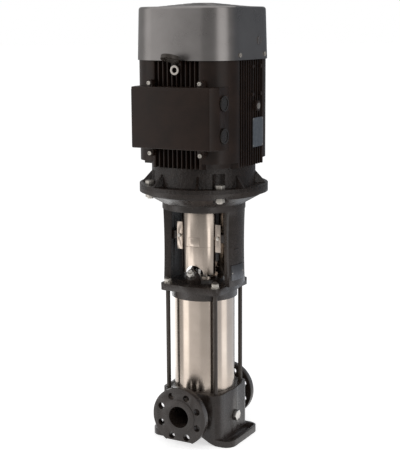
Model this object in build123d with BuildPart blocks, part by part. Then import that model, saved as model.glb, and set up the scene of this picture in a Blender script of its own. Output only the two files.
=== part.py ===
"""Vertical multistage in-line pump with its electric motor, in millimetres.

+Z is up and the origin is on the floor under the shaft. The inlet flange faces
-Y, the outlet flange +Y, and the terminal box stands on the inlet side.
"""

import math
import os

from build123d import *

os.makedirs("parts", exist_ok=True)

# Clearances
fit_gap = 0.3
bolt_play = 0.6
running_gap = 0.4

# Port flanges
port_height = 90
port_span = 300
port_bore_radius = 30
port_flange_radius = 80.5
port_flange_thickness = 20
port_face_radius = 48
port_face_height = 2
port_bolt_circle = 120
port_bolt_count = 8
port_bolt_hole_radius = 9.5
port_neck_radius = 40

# Foot
foot_length = 256
foot_width = 176
foot_thickness = 18
foot_corner = 30
foot_hole_span_x = 215
foot_hole_span_y = 130
foot_hole_radius = 6.75
foot_channel_width = 26
foot_channel_depth = 8
foot_arch_width = 158
foot_arch_height = 22
foot_arch_slope = 28
foot_core_length = 80
foot_core_width = 72
foot_core_height = 37

# Base casting
base_height = 143
barrel_half_width = 93
barrel_corner = 33
barrel_bulge_radius = 96
base_wall = 12
collar_radius = 50
collar_wall = 8
collar_drop = 18
collar_floor = 46
drain_height = 66
drain_thread_radius = 10
drain_hex_flats = 27
drain_head_height = 10

# Outer sleeve and the rods that clamp it
sleeve_radius = 84
sleeve_wall = 2
sleeve_span = 260
sleeve_seat_depth = 8
rod_radius = 6
rod_offset = 73.8
rod_base_depth = 22
rod_stick_out = 5
rod_nut_flats = 19
rod_nut_height = 10
rod_washer_radius = 12
rod_washer_thickness = 2.5

# Stages
stage_count = 4
stage_pitch = 60
stage_radius = 74
stage_wall = 1.5
stage_floor = 2
guide_thickness = 3
guide_spigot_depth = 4
impeller_radius = 62
impeller_width = 16
impeller_rise = 5
impeller_eye_radius = 30
impeller_hub_wall = 5
impeller_blades = 6
blade_thickness = 2
blade_sweep = 42
vane_inner_radius = 38
outlet_eye_radius = 45
outlet_post_count = 6
outlet_post_width = 8
outlet_post_depth = 4

# Pump head with its motor stool
head_ring_radius = 91.3
head_ring_height = 21
head_plate_half_width = 92.7
head_plate_corner = 19
head_plate_bulge_radius = 97
head_plate_thickness = 18
head_cavity_radius = 76
head_roof = 12
seal_boss_radius = 52
seal_boss_height = 10
stool_height = 265
stool_flange_thickness = 11
stool_wall_radius = 112.5
stool_waist = 2.2
stool_wall_thickness = 19
stool_wall_angle = 50
stool_neck_radius = 114
stool_neck_height = 16
stool_neck_bore = 96
stool_cone_height = 32
stool_cone_inset = 15
stool_cone_rim = 6

# Vent plug on its slanted boss
vent_angle = 45
vent_reach = 68
vent_rise = 28
vent_boss_radius = 17
vent_boss_length = 34
vent_hex_flats = 24
vent_hex_height = 9
vent_thread_radius = 9
vent_thread_depth = 22
vent_duct_radius = 3
vent_plug_bore_radius = 1.5
vent_cap_radius = 11
vent_cap_height = 4
vent_screw_radius = 4
vent_screw_height = 3
vent_slot_width = 1.4
vent_slot_depth = 1.5

# Shaft seal
seal_radius = 29.5
seal_flange_radius = 40
seal_flange_height = 8
seal_depth = 16
seal_collar_radius = 22
seal_collar_height = 16

# Pump shaft and coupling
pump_shaft_radius = 10
pump_shaft_overhang = 4
shaft_end_gap = 19
coupling_radius = 42
coupling_length = 132
coupling_grip = 35
coupling_bore_step = 9
coupling_split = 3
coupling_screw_radius = 4
coupling_screw_head_radius = 6.5
coupling_screw_head_height = 8
coupling_screw_seat = 14
coupling_screw_tip = 24
coupling_screw_offset = 30
coupling_screw_span = 80
coupling_pin_radius = 3
coupling_pin_length = 34

# Coupling guards
guard_radius = 47
guard_sheet = 1.2
guard_lift = 28
guard_top_gap = 6
guard_screw_rise = 127
guard_ear_y = 11
guard_ear_reach = 68
guard_ear_height = 76
guard_corner = 14
guard_corner_radius = 15
guard_arch_radius = 24
guard_hole_depth = 9
guard_lug_height = 26
guard_lug_width = 16
guard_screw_radius = 2.5
guard_screw_head_radius = 5
guard_screw_head_height = 3.5
guard_screw_length = 8

# Motor drive-end flange
flange_radius = 175
flange_thickness = 11
flange_bolt_inset = 25
flange_bolt_count = 4
flange_bolt_radius = 8
flange_bolt_flats = 24
flange_bolt_head = 10
flange_nut_height = 13
flange_bolt_stick_out = 4
flange_pocket_radius = 18
spigot_radius = 125
spigot_height = 5
bell_inset = 34
bell_wall = 32
bell_pocket_height = 38
bell_height = 52
bell_pocket_radius = 20
gusset_count = 8
gusset_thickness = 7
gusset_reach = 29
gusset_height = 32
shaft_opening_radius = 24

# Stator frame
frame_half_width = 143
frame_corner = 70
frame_bore_radius = 105
frame_wall = 9
frame_height = 286
frame_corner_rise = 15
frame_bead = 6
fin_pitch = 13.5
fin_gap = 10.5
fin_slots = 10
socket_radius = 13
socket_hole_radius = 7
socket_hole_depth = 14
socket_drop = 31
socket_reach = 9
lead_boss_radius = 22
lead_hole_radius = 16
side_boss_radius = 14
side_boss_y = 35
side_boss_drop = 130
side_boss_reach = 5
pad_radius = 5
pad_y = 33
pad_span_y = 48
pad_drop = 25
pad_span_z = 73
pad_reach = 3

# Stator, rotor, shaft and bearings
core_rise = 52
core_length = 170
core_bore_radius = 66
winding_overhang = 28
winding_thickness = 22
winding_setback = 4
rotor_air_gap = 1
motor_shaft_radius = 21
motor_shaft_reach = 110
bearing_bore_radius = 22.5
drive_bearing_radius = 50
drive_bearing_width = 25
drive_bearing_rise = 4
fan_bearing_radius = 42.5
fan_bearing_width = 19
fan_bearing_drop = 16
hub_wall = 12
rotor_seat_radius = 26
rotor_seat_overhang = 10
fan_seat_radius = 19
shield_thickness = 8
shield_radius = 118
shield_register = 6

# Fan and fan cover
fan_rise = 24
fan_hub_wall = 8
fan_hub_height = 40
fan_disc_radius = 70
fan_disc_thickness = 3
fan_radius = 118
fan_blade_height = 36
fan_blades = 7
fan_blade_thickness = 3
cover_spread = 5
cover_corner_growth = 8
cover_overlap = 7
cover_height = 147
cover_crown = 10
cover_crown_inset = 16
cover_taper = 1.8
cover_wall = 2
cover_edge_radius = 8
grille_inner_radius = 30
grille_rings = 4
grille_pitch = 22
grille_slot = 11
grille_spokes = 4
grille_spoke_width = 9
cover_notch_width = 26
cover_notch_height = 9
cover_screw_y = 72
cover_screw_rise = 13
cover_screw_radius = 3
cover_screw_head_radius = 6
cover_screw_head_height = 2.5
cover_screw_length = 12
cover_lug_width = 16
cover_lug_height = 14
cover_lug_length = 60
cover_lug_gap = 1.8

# Terminal box
box_inset_left = 25
box_inset_right = 9
box_rise = 54
box_height = 154
box_depth = 43
box_cover_depth = 26
box_slant_left = 5
box_slant_right = 15
box_corner = 6
box_wall = 4
box_front_wall = 8
box_edge_radius = 3
box_lug_x = 75
box_lug_radius = 9
box_lug_rise = 14
box_lug_thickness = 8
box_screw_radius = 3
box_screw_head_radius = 5.5
box_screw_head_height = 4
entry_setback = 22
entry_span = 83
entry_radius = 15
entry_cap_radius = 20
entry_cap_height = 5
terminal_width = 96
terminal_height = 60
terminal_depth = 8
terminal_post_radius = 4
terminal_post_height = 4
terminal_post_pitch_x = 30
terminal_post_pitch_z = 34

# Lifting eyes
eye_drop = 12
eye_angle = 20
eye_radius = 24
eye_hole_radius = 13
eye_thickness = 10
eye_distance = 34
eye_shank_radius = 6
eye_pad_width = 24

# Heights that follow from the sizes above
collar_top = base_height - collar_drop
sleeve_bottom = base_height - sleeve_seat_depth
head_bottom = base_height + sleeve_span
plate_bottom = head_bottom + head_ring_height
plate_top = plate_bottom + head_plate_thickness
boss_top = plate_top + seal_boss_height
stool_top = plate_top + stool_height
neck_top = stool_top - stool_flange_thickness - stool_cone_height
window_top = neck_top - stool_neck_height
stack_bottom = collar_top + guide_thickness
stack_top = stack_bottom + stage_count * stage_pitch
seal_top = boss_top + seal_flange_height
motor_shaft_bottom = stool_top - motor_shaft_reach
coupling_top = motor_shaft_bottom + coupling_grip
coupling_bottom = coupling_top - coupling_length
coupling_middle = coupling_top - coupling_length / 2
pump_shaft_bottom = collar_top - pump_shaft_overhang
pump_shaft_top = motor_shaft_bottom - shaft_end_gap
coupling_pin_z = (coupling_bottom + pump_shaft_top) / 2
guard_bottom = plate_top + guard_lift
guard_top = window_top - guard_top_gap
guard_middle = plate_top + guard_screw_rise
flange_top = stool_top + flange_thickness
bell_top = flange_top + bell_height
frame_top = bell_top + frame_height
core_bottom = bell_top + core_rise
core_top = core_bottom + core_length
drive_bearing_bottom = flange_top + drive_bearing_rise
drive_bearing_top = drive_bearing_bottom + drive_bearing_width
fan_bearing_bottom = frame_top - fan_bearing_drop
fan_bottom = frame_top + fan_rise
cover_bottom = frame_top - cover_overlap
cover_top = cover_bottom + cover_height
box_bottom = bell_top + box_rise
box_top = box_bottom + box_height
box_middle = (box_bottom + box_top) / 2

# Places in plan
lug_inner = guard_ear_reach - guard_lug_width
lug_outer = stool_wall_radius - stool_wall_thickness
lug_middle = (lug_inner + lug_outer) / 2
guard_seat_y = guard_ear_y - guard_sheet
guard_screw_x = guard_ear_reach - guard_lug_width / 2
flange_y = port_span / 2
stool_cone_radius = flange_radius - stool_cone_inset
flange_bolt_circle = 2 * (flange_radius - flange_bolt_inset)
bell_radius = flange_radius - bell_inset
cover_half_width = frame_half_width + cover_spread
cover_corner = frame_corner + cover_corner_growth
cover_crown_reach = cover_half_width - cover_crown_inset
box_left = frame_half_width - box_inset_left
box_right = frame_half_width - box_inset_right
box_front = -frame_half_width - box_depth
box_parting = box_front + box_cover_depth
box_centre_x = (box_right - box_left) / 2
box_width = box_left + box_right
impeller_bore = pump_shaft_radius + fit_gap / 2
impeller_hub_radius = impeller_bore + impeller_hub_wall
eye_inner_radius = impeller_eye_radius - blade_thickness
blade_root_radius = impeller_hub_radius + blade_thickness
blade_tip_radius = impeller_radius - blade_thickness
blade_middle_radius = (blade_root_radius + blade_tip_radius) / 2
vane_outer_radius = stage_radius - stage_wall / 2
bearing_bore = bearing_bore_radius + fit_gap / 2
guard_screw_places = [(-guard_screw_x, guard_middle), (guard_screw_x, guard_middle)]
corner_places = [(x, y) for x in (-rod_offset, rod_offset) for y in (-rod_offset, rod_offset)]


def hexagon_radius(flats):
    """Corner radius of a hexagon from its width across flats."""
    return flats / math.sqrt(3)


def upright_plane(angle):
    """Plane through the shaft, turned about it, whose x is the radius and y the height."""
    turn = math.radians(angle)
    outward = (math.cos(turn), math.sin(turn), 0)
    return Plane(origin=(0, 0, 0), x_dir=outward, z_dir=(math.sin(turn), -math.cos(turn), 0))


def ring_profile(inner, outer, bottom, top):
    """Rectangle in the open sketch, from one radius and height to another."""
    with Locations(((inner + outer) / 2, (bottom + top) / 2)):
        Rectangle(outer - inner, top - bottom)


def keep(piece, name):
    """Label a finished piece and write its file."""
    piece.part.label = name
    export_step(piece.part, f"parts/{name}.step")


# Base casting: foot, barrel, two flanged ports and the water ways inside
with BuildPart() as pump_base:
    with BuildSketch(Plane.XY):
        RectangleRounded(foot_length, foot_width, foot_corner)
    extrude(amount=foot_thickness)
    with BuildSketch(Plane.XY.offset(foot_thickness)):
        with Locations((-foot_hole_span_x / 2, 0), (foot_hole_span_x / 2, 0)):
            SlotCenterToCenter(foot_hole_span_y, foot_channel_width, rotation=90)
    extrude(amount=-foot_channel_depth, mode=Mode.SUBTRACT)
    with BuildSketch(Plane.XY):
        RectangleRounded(2 * barrel_half_width, 2 * barrel_half_width, barrel_corner)
        Circle(barrel_bulge_radius)
    extrude(amount=base_height)
    with BuildSketch(Plane.XZ.offset(-flange_y + port_face_height)):
        with Locations((0, port_height)):
            Circle(port_neck_radius)
    extrude(amount=2 * (flange_y - port_face_height))
    for side in (-1, 1):
        with BuildSketch(Plane.XZ.offset(side * (flange_y - port_face_height))):
            with Locations((0, port_height)):
                Circle(port_flange_radius)
        extrude(amount=-side * (port_flange_thickness - port_face_height))
        with BuildSketch(Plane.XZ.offset(side * flange_y)):
            with Locations((0, port_height)):
                Circle(port_face_radius)
        extrude(amount=-side * port_flange_thickness)
    # The ring-shaped outlet chamber round the collar, and the seat of the sleeve
    with BuildSketch(Plane.XY.offset(collar_floor)):
        Circle(barrel_half_width - base_wall)
        Circle(collar_radius, mode=Mode.SUBTRACT)
    extrude(amount=collar_top - collar_floor, mode=Mode.SUBTRACT)
    with BuildSketch(Plane.XY.offset(collar_top)):
        Circle(barrel_half_width - base_wall)
    extrude(amount=base_height - collar_top, mode=Mode.SUBTRACT)
    with BuildSketch(Plane.XY.offset(sleeve_bottom)):
        Circle(sleeve_radius + fit_gap)
    extrude(amount=sleeve_seat_depth, mode=Mode.SUBTRACT)
    # The inlet duct crosses that chamber to the collar, the outlet leaves it
    with BuildSketch(Plane.XZ):
        with Locations((0, port_height)):
            Circle(port_bore_radius + collar_wall / 2)
    extrude(amount=barrel_half_width - base_wall / 2)
    with BuildSketch(Plane.XZ):
        with Locations((0, port_height)):
            Circle(port_bore_radius)
    extrude(amount=flange_y, mode=Mode.SUBTRACT)
    with BuildSketch(Plane.XZ.offset(-flange_y)):
        with Locations((0, port_height)):
            Circle(port_bore_radius)
    extrude(amount=flange_y - collar_radius, mode=Mode.SUBTRACT)
    with BuildSketch(Plane.XY.offset(port_height - port_bore_radius)):
        Circle(collar_radius - collar_wall)
    extrude(amount=collar_top - port_height + port_bore_radius, mode=Mode.SUBTRACT)
    # Flange holes, foot holes, rod holes, drain hole and the arch under the ports
    for side in (-1, 1):
        with BuildSketch(Plane.XZ.offset(side * flange_y)):
            with Locations((0, port_height)):
                with PolarLocations(port_bolt_circle / 2, port_bolt_count, 180 / port_bolt_count):
                    Circle(port_bolt_hole_radius)
        extrude(amount=-side * port_flange_thickness, mode=Mode.SUBTRACT)
    with BuildSketch(Plane.XY):
        with GridLocations(foot_hole_span_x, foot_hole_span_y, 2, 2):
            Circle(foot_hole_radius)
    extrude(amount=foot_thickness, mode=Mode.SUBTRACT)
    with BuildSketch(Plane.XY.offset(base_height)):
        with Locations(*corner_places):
            Circle(rod_radius + fit_gap)
    extrude(amount=-rod_base_depth - fit_gap, mode=Mode.SUBTRACT)
    with BuildSketch(Plane.YZ.offset(barrel_bulge_radius)):
        with Locations((0, drain_height)):
            Circle(drain_thread_radius + fit_gap)
    extrude(amount=-2 * base_wall, mode=Mode.SUBTRACT)
    with BuildSketch(Plane.XZ.offset(flange_y)):
        with Locations((0, foot_arch_height / 2)):
            Trapezoid(foot_arch_width, foot_arch_height, foot_arch_slope)
    extrude(amount=-port_span, mode=Mode.SUBTRACT)
    # Cored pocket that lightens the underside
    with BuildSketch(Plane.XY):
        Rectangle(foot_core_width, foot_core_length)
    extrude(amount=foot_core_height, mode=Mode.SUBTRACT)
keep(pump_base, "pump_base")

with BuildPart() as drain_plug:
    with BuildSketch(Plane.YZ.offset(barrel_bulge_radius)):
        with Locations((0, drain_height)):
            RegularPolygon(hexagon_radius(drain_hex_flats), 6)
    extrude(amount=drain_head_height)
    with BuildSketch(Plane.YZ.offset(barrel_bulge_radius)):
        with Locations((0, drain_height)):
            Circle(drain_thread_radius)
    extrude(amount=-base_wall)
keep(drain_plug, "drain_plug")

# Sleeve, rods, washers and nuts
with BuildPart() as outer_sleeve:
    with BuildSketch(Plane.XY.offset(sleeve_bottom)):
        Circle(sleeve_radius)
        Circle(sleeve_radius - sleeve_wall, mode=Mode.SUBTRACT)
    extrude(amount=sleeve_span + 2 * sleeve_seat_depth)
keep(outer_sleeve, "outer_sleeve")

rod_bottom = base_height - rod_base_depth
nut_bottom = plate_top + rod_washer_thickness
with BuildPart() as stay_rods:
    with BuildSketch(Plane.XY.offset(rod_bottom)):
        with Locations(*corner_places):
            Circle(rod_radius)
    extrude(amount=nut_bottom + rod_nut_height + rod_stick_out - rod_bottom)
keep(stay_rods, "stay_rods")

with BuildPart() as stay_rod_washers:
    with BuildSketch(Plane.XY.offset(plate_top)):
        with Locations(*corner_places):
            Circle(rod_washer_radius)
            Circle(rod_radius + fit_gap, mode=Mode.SUBTRACT)
    extrude(amount=rod_washer_thickness)
keep(stay_rod_washers, "stay_rod_washers")

with BuildPart() as stay_rod_nuts:
    with BuildSketch(Plane.XY.offset(nut_bottom)):
        with Locations(*corner_places):
            RegularPolygon(hexagon_radius(rod_nut_flats), 6)
            Circle(rod_radius + fit_gap, mode=Mode.SUBTRACT)
    extrude(amount=rod_nut_height)
keep(stay_rod_nuts, "stay_rod_nuts")

# Inlet guide on the collar, then one chamber and one impeller for each stage
with BuildPart() as inlet_guide:
    with BuildSketch(Plane.XY.offset(collar_top)):
        Circle(stage_radius)
        Circle(impeller_eye_radius, mode=Mode.SUBTRACT)
    extrude(amount=guide_thickness)
    with BuildSketch(Plane.XY.offset(collar_top)):
        Circle(collar_radius - collar_wall - fit_gap)
        Circle(impeller_eye_radius, mode=Mode.SUBTRACT)
    extrude(amount=-guide_spigot_depth)
keep(inlet_guide, "inlet_guide")

for stage in range(stage_count):
    stage_bottom = stack_bottom + stage * stage_pitch
    wheel_bottom = stage_bottom + impeller_rise
    wheel_top = wheel_bottom + impeller_width
    vane_bottom = wheel_top + impeller_rise
    with BuildPart() as stage_chamber:
        with BuildSketch(Plane.XY.offset(stage_bottom)):
            Circle(stage_radius)
            Circle(stage_radius - stage_wall, mode=Mode.SUBTRACT)
        extrude(amount=stage_pitch)
        with BuildSketch(Plane.XY.offset(stage_bottom)):
            Circle(stage_radius)
            Circle(impeller_eye_radius + running_gap, mode=Mode.SUBTRACT)
        extrude(amount=stage_floor)
        # Return vanes lead the water from the wall back to the next eye
        with BuildSketch(Plane.XY.offset(vane_bottom)):
            with PolarLocations((vane_inner_radius + vane_outer_radius) / 2, impeller_blades):
                Rectangle(vane_outer_radius - vane_inner_radius, stage_wall)
        extrude(amount=stage_bottom + stage_pitch - vane_bottom)
    keep(stage_chamber, f"stage_chamber_{stage + 1}")

    # Closed wheel: eye ring, two shrouds, swept blades between them and a hub
    with BuildPart() as impeller:
        with BuildSketch(upright_plane(0)):
            ring_profile(eye_inner_radius, impeller_eye_radius, stage_bottom, wheel_bottom)
            ring_profile(eye_inner_radius, impeller_radius, wheel_bottom, wheel_bottom + blade_thickness)
            ring_profile(impeller_bore, impeller_radius, wheel_top - blade_thickness, wheel_top)
            ring_profile(impeller_bore, impeller_hub_radius, wheel_bottom, wheel_bottom + stage_pitch)
        revolve(axis=Axis.Z)
        with BuildSketch(Plane.XY.offset(wheel_bottom + blade_thickness)):
            with PolarLocations(0, impeller_blades):
                with BuildLine():
                    blade_line = ThreePointArc(
                        (blade_root_radius, 0),
                        Vector(blade_middle_radius, 0).rotate(Axis.Z, blade_sweep / 3),
                        Vector(blade_tip_radius, 0).rotate(Axis.Z, blade_sweep),
                    )
                    offset(blade_line, amount=blade_thickness / 2, side=Side.BOTH)
                make_face()
        extrude(amount=impeller_width - 2 * blade_thickness)
    keep(impeller, f"impeller_{stage + 1}")

with BuildPart() as outlet_chamber:
    with BuildSketch(Plane.XY.offset(stack_top)):
        Circle(stage_radius)
        Circle(outlet_eye_radius, mode=Mode.SUBTRACT)
    extrude(amount=stage_floor)
    with BuildSketch(Plane.XY.offset(stack_top)):
        with PolarLocations(stage_radius - outlet_post_depth, outlet_post_count):
            Rectangle(outlet_post_depth, outlet_post_width)
    extrude(amount=plate_top - head_roof - stack_top)
keep(outlet_chamber, "outlet_chamber")

# Pump head and motor stool, one casting
vent_axis = (0, -math.sin(math.radians(vent_angle)), math.cos(math.radians(vent_angle)))
vent_plane = Plane(origin=(0, -vent_reach, plate_top + vent_rise), z_dir=vent_axis)
vent_bore_end = vent_plane.offset(-vent_thread_depth).origin
with BuildPart() as pump_head:
    with BuildSketch(Plane.XY.offset(head_bottom)):
        Circle(head_ring_radius)
    extrude(amount=head_ring_height)
    with BuildSketch(Plane.XY.offset(plate_bottom)):
        RectangleRounded(2 * head_plate_half_width, 2 * head_plate_half_width, head_plate_corner)
        Circle(head_plate_bulge_radius)
    extrude(amount=head_plate_thickness)
    with BuildSketch(Plane.XY.offset(plate_top)):
        Circle(seal_boss_radius)
    extrude(amount=seal_boss_height)
    with BuildSketch(vent_plane):
        Circle(vent_boss_radius)
    extrude(amount=-vent_boss_length)
    # Two waisted side walls leave a window towards each port
    for turn in (0, 180):
        with BuildSketch(upright_plane(turn - stool_wall_angle / 2)):
            with BuildLine():
                outside = ThreePointArc(
                    (stool_wall_radius, plate_top),
                    (stool_wall_radius - stool_waist, (plate_top + window_top) / 2),
                    (stool_wall_radius, window_top),
                )
                Polyline(
                    outside @ 1,
                    (stool_wall_radius - stool_wall_thickness, window_top),
                    (stool_wall_radius - stool_wall_thickness, plate_top),
                    outside @ 0,
                )
            make_face()
        revolve(axis=Axis.Z, revolution_arc=stool_wall_angle)
    # Neck, cone and motor flange
    with BuildSketch(upright_plane(0)):
        with BuildLine():
            Polyline(
                (stool_neck_bore, window_top),
                (stool_neck_radius, window_top),
                (stool_neck_radius, neck_top),
                (stool_cone_radius, stool_top - stool_flange_thickness - stool_cone_rim),
                (stool_cone_radius, stool_top - stool_flange_thickness),
                (flange_radius, stool_top - stool_flange_thickness),
                (flange_radius, stool_top),
                (spigot_radius + fit_gap, stool_top),
                (spigot_radius + fit_gap, stool_top - spigot_height - fit_gap),
                (spigot_radius - stool_cone_rim, stool_top - spigot_height - fit_gap),
                (stool_neck_bore, neck_top),
                close=True,
            )
        make_face()
    revolve(axis=Axis.Z)
    # Lugs inside the walls carry the ears of the coupling guards
    with BuildSketch(Plane.XY.offset(guard_middle - guard_lug_height / 2)):
        with Locations((-lug_middle, 0), (lug_middle, 0)):
            Rectangle(lug_outer - lug_inner, 2 * guard_seat_y)
    extrude(amount=guard_lug_height)
    # Seats and holes
    with BuildSketch(Plane.XY.offset(head_bottom)):
        Circle(sleeve_radius + fit_gap)
    extrude(amount=sleeve_seat_depth, mode=Mode.SUBTRACT)
    with BuildSketch(Plane.XY.offset(head_bottom)):
        Circle(head_cavity_radius)
    extrude(amount=plate_top - head_roof - head_bottom, mode=Mode.SUBTRACT)
    with BuildSketch(Plane.XY.offset(boss_top)):
        Circle(seal_radius + fit_gap)
    extrude(amount=-(seal_boss_height + head_roof), mode=Mode.SUBTRACT)
    with BuildSketch(Plane.XY.offset(boss_top)):
        Circle(seal_flange_radius + fit_gap)
    extrude(amount=seal_flange_height + seal_collar_height, mode=Mode.SUBTRACT)
    with BuildSketch(vent_plane):
        Circle(vent_thread_radius + fit_gap)
    extrude(amount=-vent_thread_depth - fit_gap, mode=Mode.SUBTRACT)
    with BuildSketch(Plane.XY.offset(plate_top - head_roof)):
        with Locations((0, vent_bore_end.Y)):
            Circle(vent_duct_radius)
    extrude(amount=vent_bore_end.Z - plate_top + head_roof, mode=Mode.SUBTRACT)
    with BuildSketch(Plane.XY.offset(plate_top)):
        with Locations(*corner_places):
            Circle(rod_radius + bolt_play)
    extrude(amount=-head_plate_thickness, mode=Mode.SUBTRACT)
    with BuildSketch(Plane.XY.offset(stool_top)):
        with PolarLocations(flange_bolt_circle / 2, flange_bolt_count, 180 / flange_bolt_count):
            Circle(flange_bolt_radius + bolt_play)
    extrude(amount=-stool_flange_thickness, mode=Mode.SUBTRACT)
    with BuildSketch(Plane.XY.offset(stool_top - stool_flange_thickness)):
        with PolarLocations(flange_bolt_circle / 2, flange_bolt_count, 180 / flange_bolt_count):
            Circle(flange_pocket_radius)
    extrude(amount=-stool_cone_height, mode=Mode.SUBTRACT)
    for side in (-1, 1):
        with BuildSketch(Plane.XZ.offset(side * guard_seat_y)):
            with Locations(*guard_screw_places):
                Circle(guard_screw_radius + fit_gap)
        extrude(amount=-side * guard_hole_depth, mode=Mode.SUBTRACT)
keep(pump_head, "pump_head")

# Vent plug, with the small screw that turns in it to let air out
with BuildPart() as vent_plug:
    with BuildSketch(vent_plane):
        RegularPolygon(hexagon_radius(vent_hex_flats), 6)
    extrude(amount=vent_hex_height)
    with BuildSketch(vent_plane.offset(vent_hex_height)):
        Circle(vent_cap_radius)
    extrude(amount=vent_cap_height)
    with BuildSketch(vent_plane):
        Circle(vent_thread_radius)
    extrude(amount=-vent_thread_depth)
    with BuildSketch(vent_plane.offset(vent_hex_height + vent_cap_height)):
        Circle(vent_screw_radius + fit_gap)
    extrude(amount=-vent_hex_height - vent_cap_height, mode=Mode.SUBTRACT)
    with BuildSketch(vent_plane):
        Circle(vent_plug_bore_radius)
    extrude(amount=-vent_thread_depth, mode=Mode.SUBTRACT)
keep(vent_plug, "vent_plug")

with BuildPart() as vent_screw:
    with BuildSketch(vent_plane.offset(fit_gap)):
        Circle(vent_screw_radius)
    extrude(amount=vent_hex_height + vent_cap_height + vent_screw_height - fit_gap)
    with BuildSketch(vent_plane.offset(vent_hex_height + vent_cap_height + vent_screw_height)):
        Rectangle(2 * vent_screw_radius, vent_slot_width)
    extrude(amount=-vent_slot_depth, mode=Mode.SUBTRACT)
keep(vent_screw, "vent_screw")

# Shaft seal: a still housing in the head and a collar that turns with the shaft
with BuildPart() as seal_housing:
    with BuildSketch(upright_plane(0)):
        ring_profile(pump_shaft_radius + running_gap, seal_radius, boss_top - seal_depth, boss_top)
        ring_profile(pump_shaft_radius + running_gap, seal_flange_radius, boss_top, seal_top)
    revolve(axis=Axis.Z)
keep(seal_housing, "seal_housing")

with BuildPart() as seal_collar:
    with BuildSketch(upright_plane(0)):
        ring_profile(
            pump_shaft_radius + fit_gap / 2,
            seal_collar_radius,
            seal_top + running_gap,
            seal_top + seal_collar_height,
        )
    revolve(axis=Axis.Z)
keep(seal_collar, "seal_collar")

# Pump shaft, and the split coupling that clamps it to the motor shaft
with BuildPart() as pump_shaft:
    with BuildSketch(Plane.XY.offset(pump_shaft_bottom)):
        Circle(pump_shaft_radius)
    extrude(amount=pump_shaft_top - pump_shaft_bottom)
    with BuildSketch(Plane.YZ.offset(-coupling_radius)):
        with Locations((0, coupling_pin_z)):
            Circle(coupling_pin_radius + fit_gap / 2)
    extrude(amount=2 * coupling_radius, mode=Mode.SUBTRACT)
keep(pump_shaft, "pump_shaft")

with BuildPart() as coupling_pin:
    with BuildSketch(Plane.YZ.offset(-coupling_pin_length / 2)):
        with Locations((0, coupling_pin_z)):
            Circle(coupling_pin_radius)
    extrude(amount=coupling_pin_length)
keep(coupling_pin, "coupling_pin")

coupling_screw_grid = [
    (x, coupling_middle + z)
    for x in (-coupling_screw_offset, coupling_screw_offset)
    for z in (-coupling_screw_span / 2, coupling_screw_span / 2)
]
for name, side in (("coupling_half_front", -1), ("coupling_half_rear", 1)):
    with BuildPart() as coupling_half:
        with BuildSketch(Plane.XY.offset(coupling_bottom)):
            Circle(coupling_radius)
            with Locations((0, -side * coupling_radius + side * coupling_split / 2)):
                Rectangle(2 * coupling_radius, 2 * coupling_radius, mode=Mode.SUBTRACT)
        extrude(amount=coupling_length)
        with BuildSketch(Plane.XY.offset(motor_shaft_bottom - coupling_bore_step)):
            Circle(motor_shaft_radius + fit_gap / 2)
        extrude(amount=coupling_grip + coupling_bore_step, mode=Mode.SUBTRACT)
        with BuildSketch(Plane.XY.offset(coupling_bottom)):
            Circle(pump_shaft_radius + fit_gap / 2)
        extrude(amount=coupling_length, mode=Mode.SUBTRACT)
        with BuildSketch(Plane.YZ.offset(-coupling_pin_length / 2 - fit_gap)):
            with Locations((0, coupling_pin_z)):
                Circle(coupling_pin_radius + fit_gap / 2)
        extrude(amount=coupling_pin_length + 2 * fit_gap, mode=Mode.SUBTRACT)
        with BuildSketch(Plane.XZ.offset(-coupling_radius)):
            with Locations(*coupling_screw_grid):
                Circle(coupling_screw_radius + fit_gap)
        extrude(amount=2 * coupling_radius, mode=Mode.SUBTRACT)
        with BuildSketch(Plane.XZ.offset(coupling_screw_seat)):
            with Locations(*coupling_screw_grid):
                Circle(coupling_screw_head_radius + fit_gap)
        extrude(amount=coupling_radius, mode=Mode.SUBTRACT)
    keep(coupling_half, name)

with BuildPart() as coupling_screws:
    with BuildSketch(Plane.XZ.offset(coupling_screw_seat)):
        with Locations(*coupling_screw_grid):
            Circle(coupling_screw_head_radius)
    extrude(amount=coupling_screw_head_height)
    with BuildSketch(Plane.XZ.offset(coupling_screw_seat)):
        with Locations(*coupling_screw_grid):
            Circle(coupling_screw_radius)
    extrude(amount=-coupling_screw_seat - coupling_screw_tip)
keep(coupling_screws, "coupling_screws")

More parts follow.
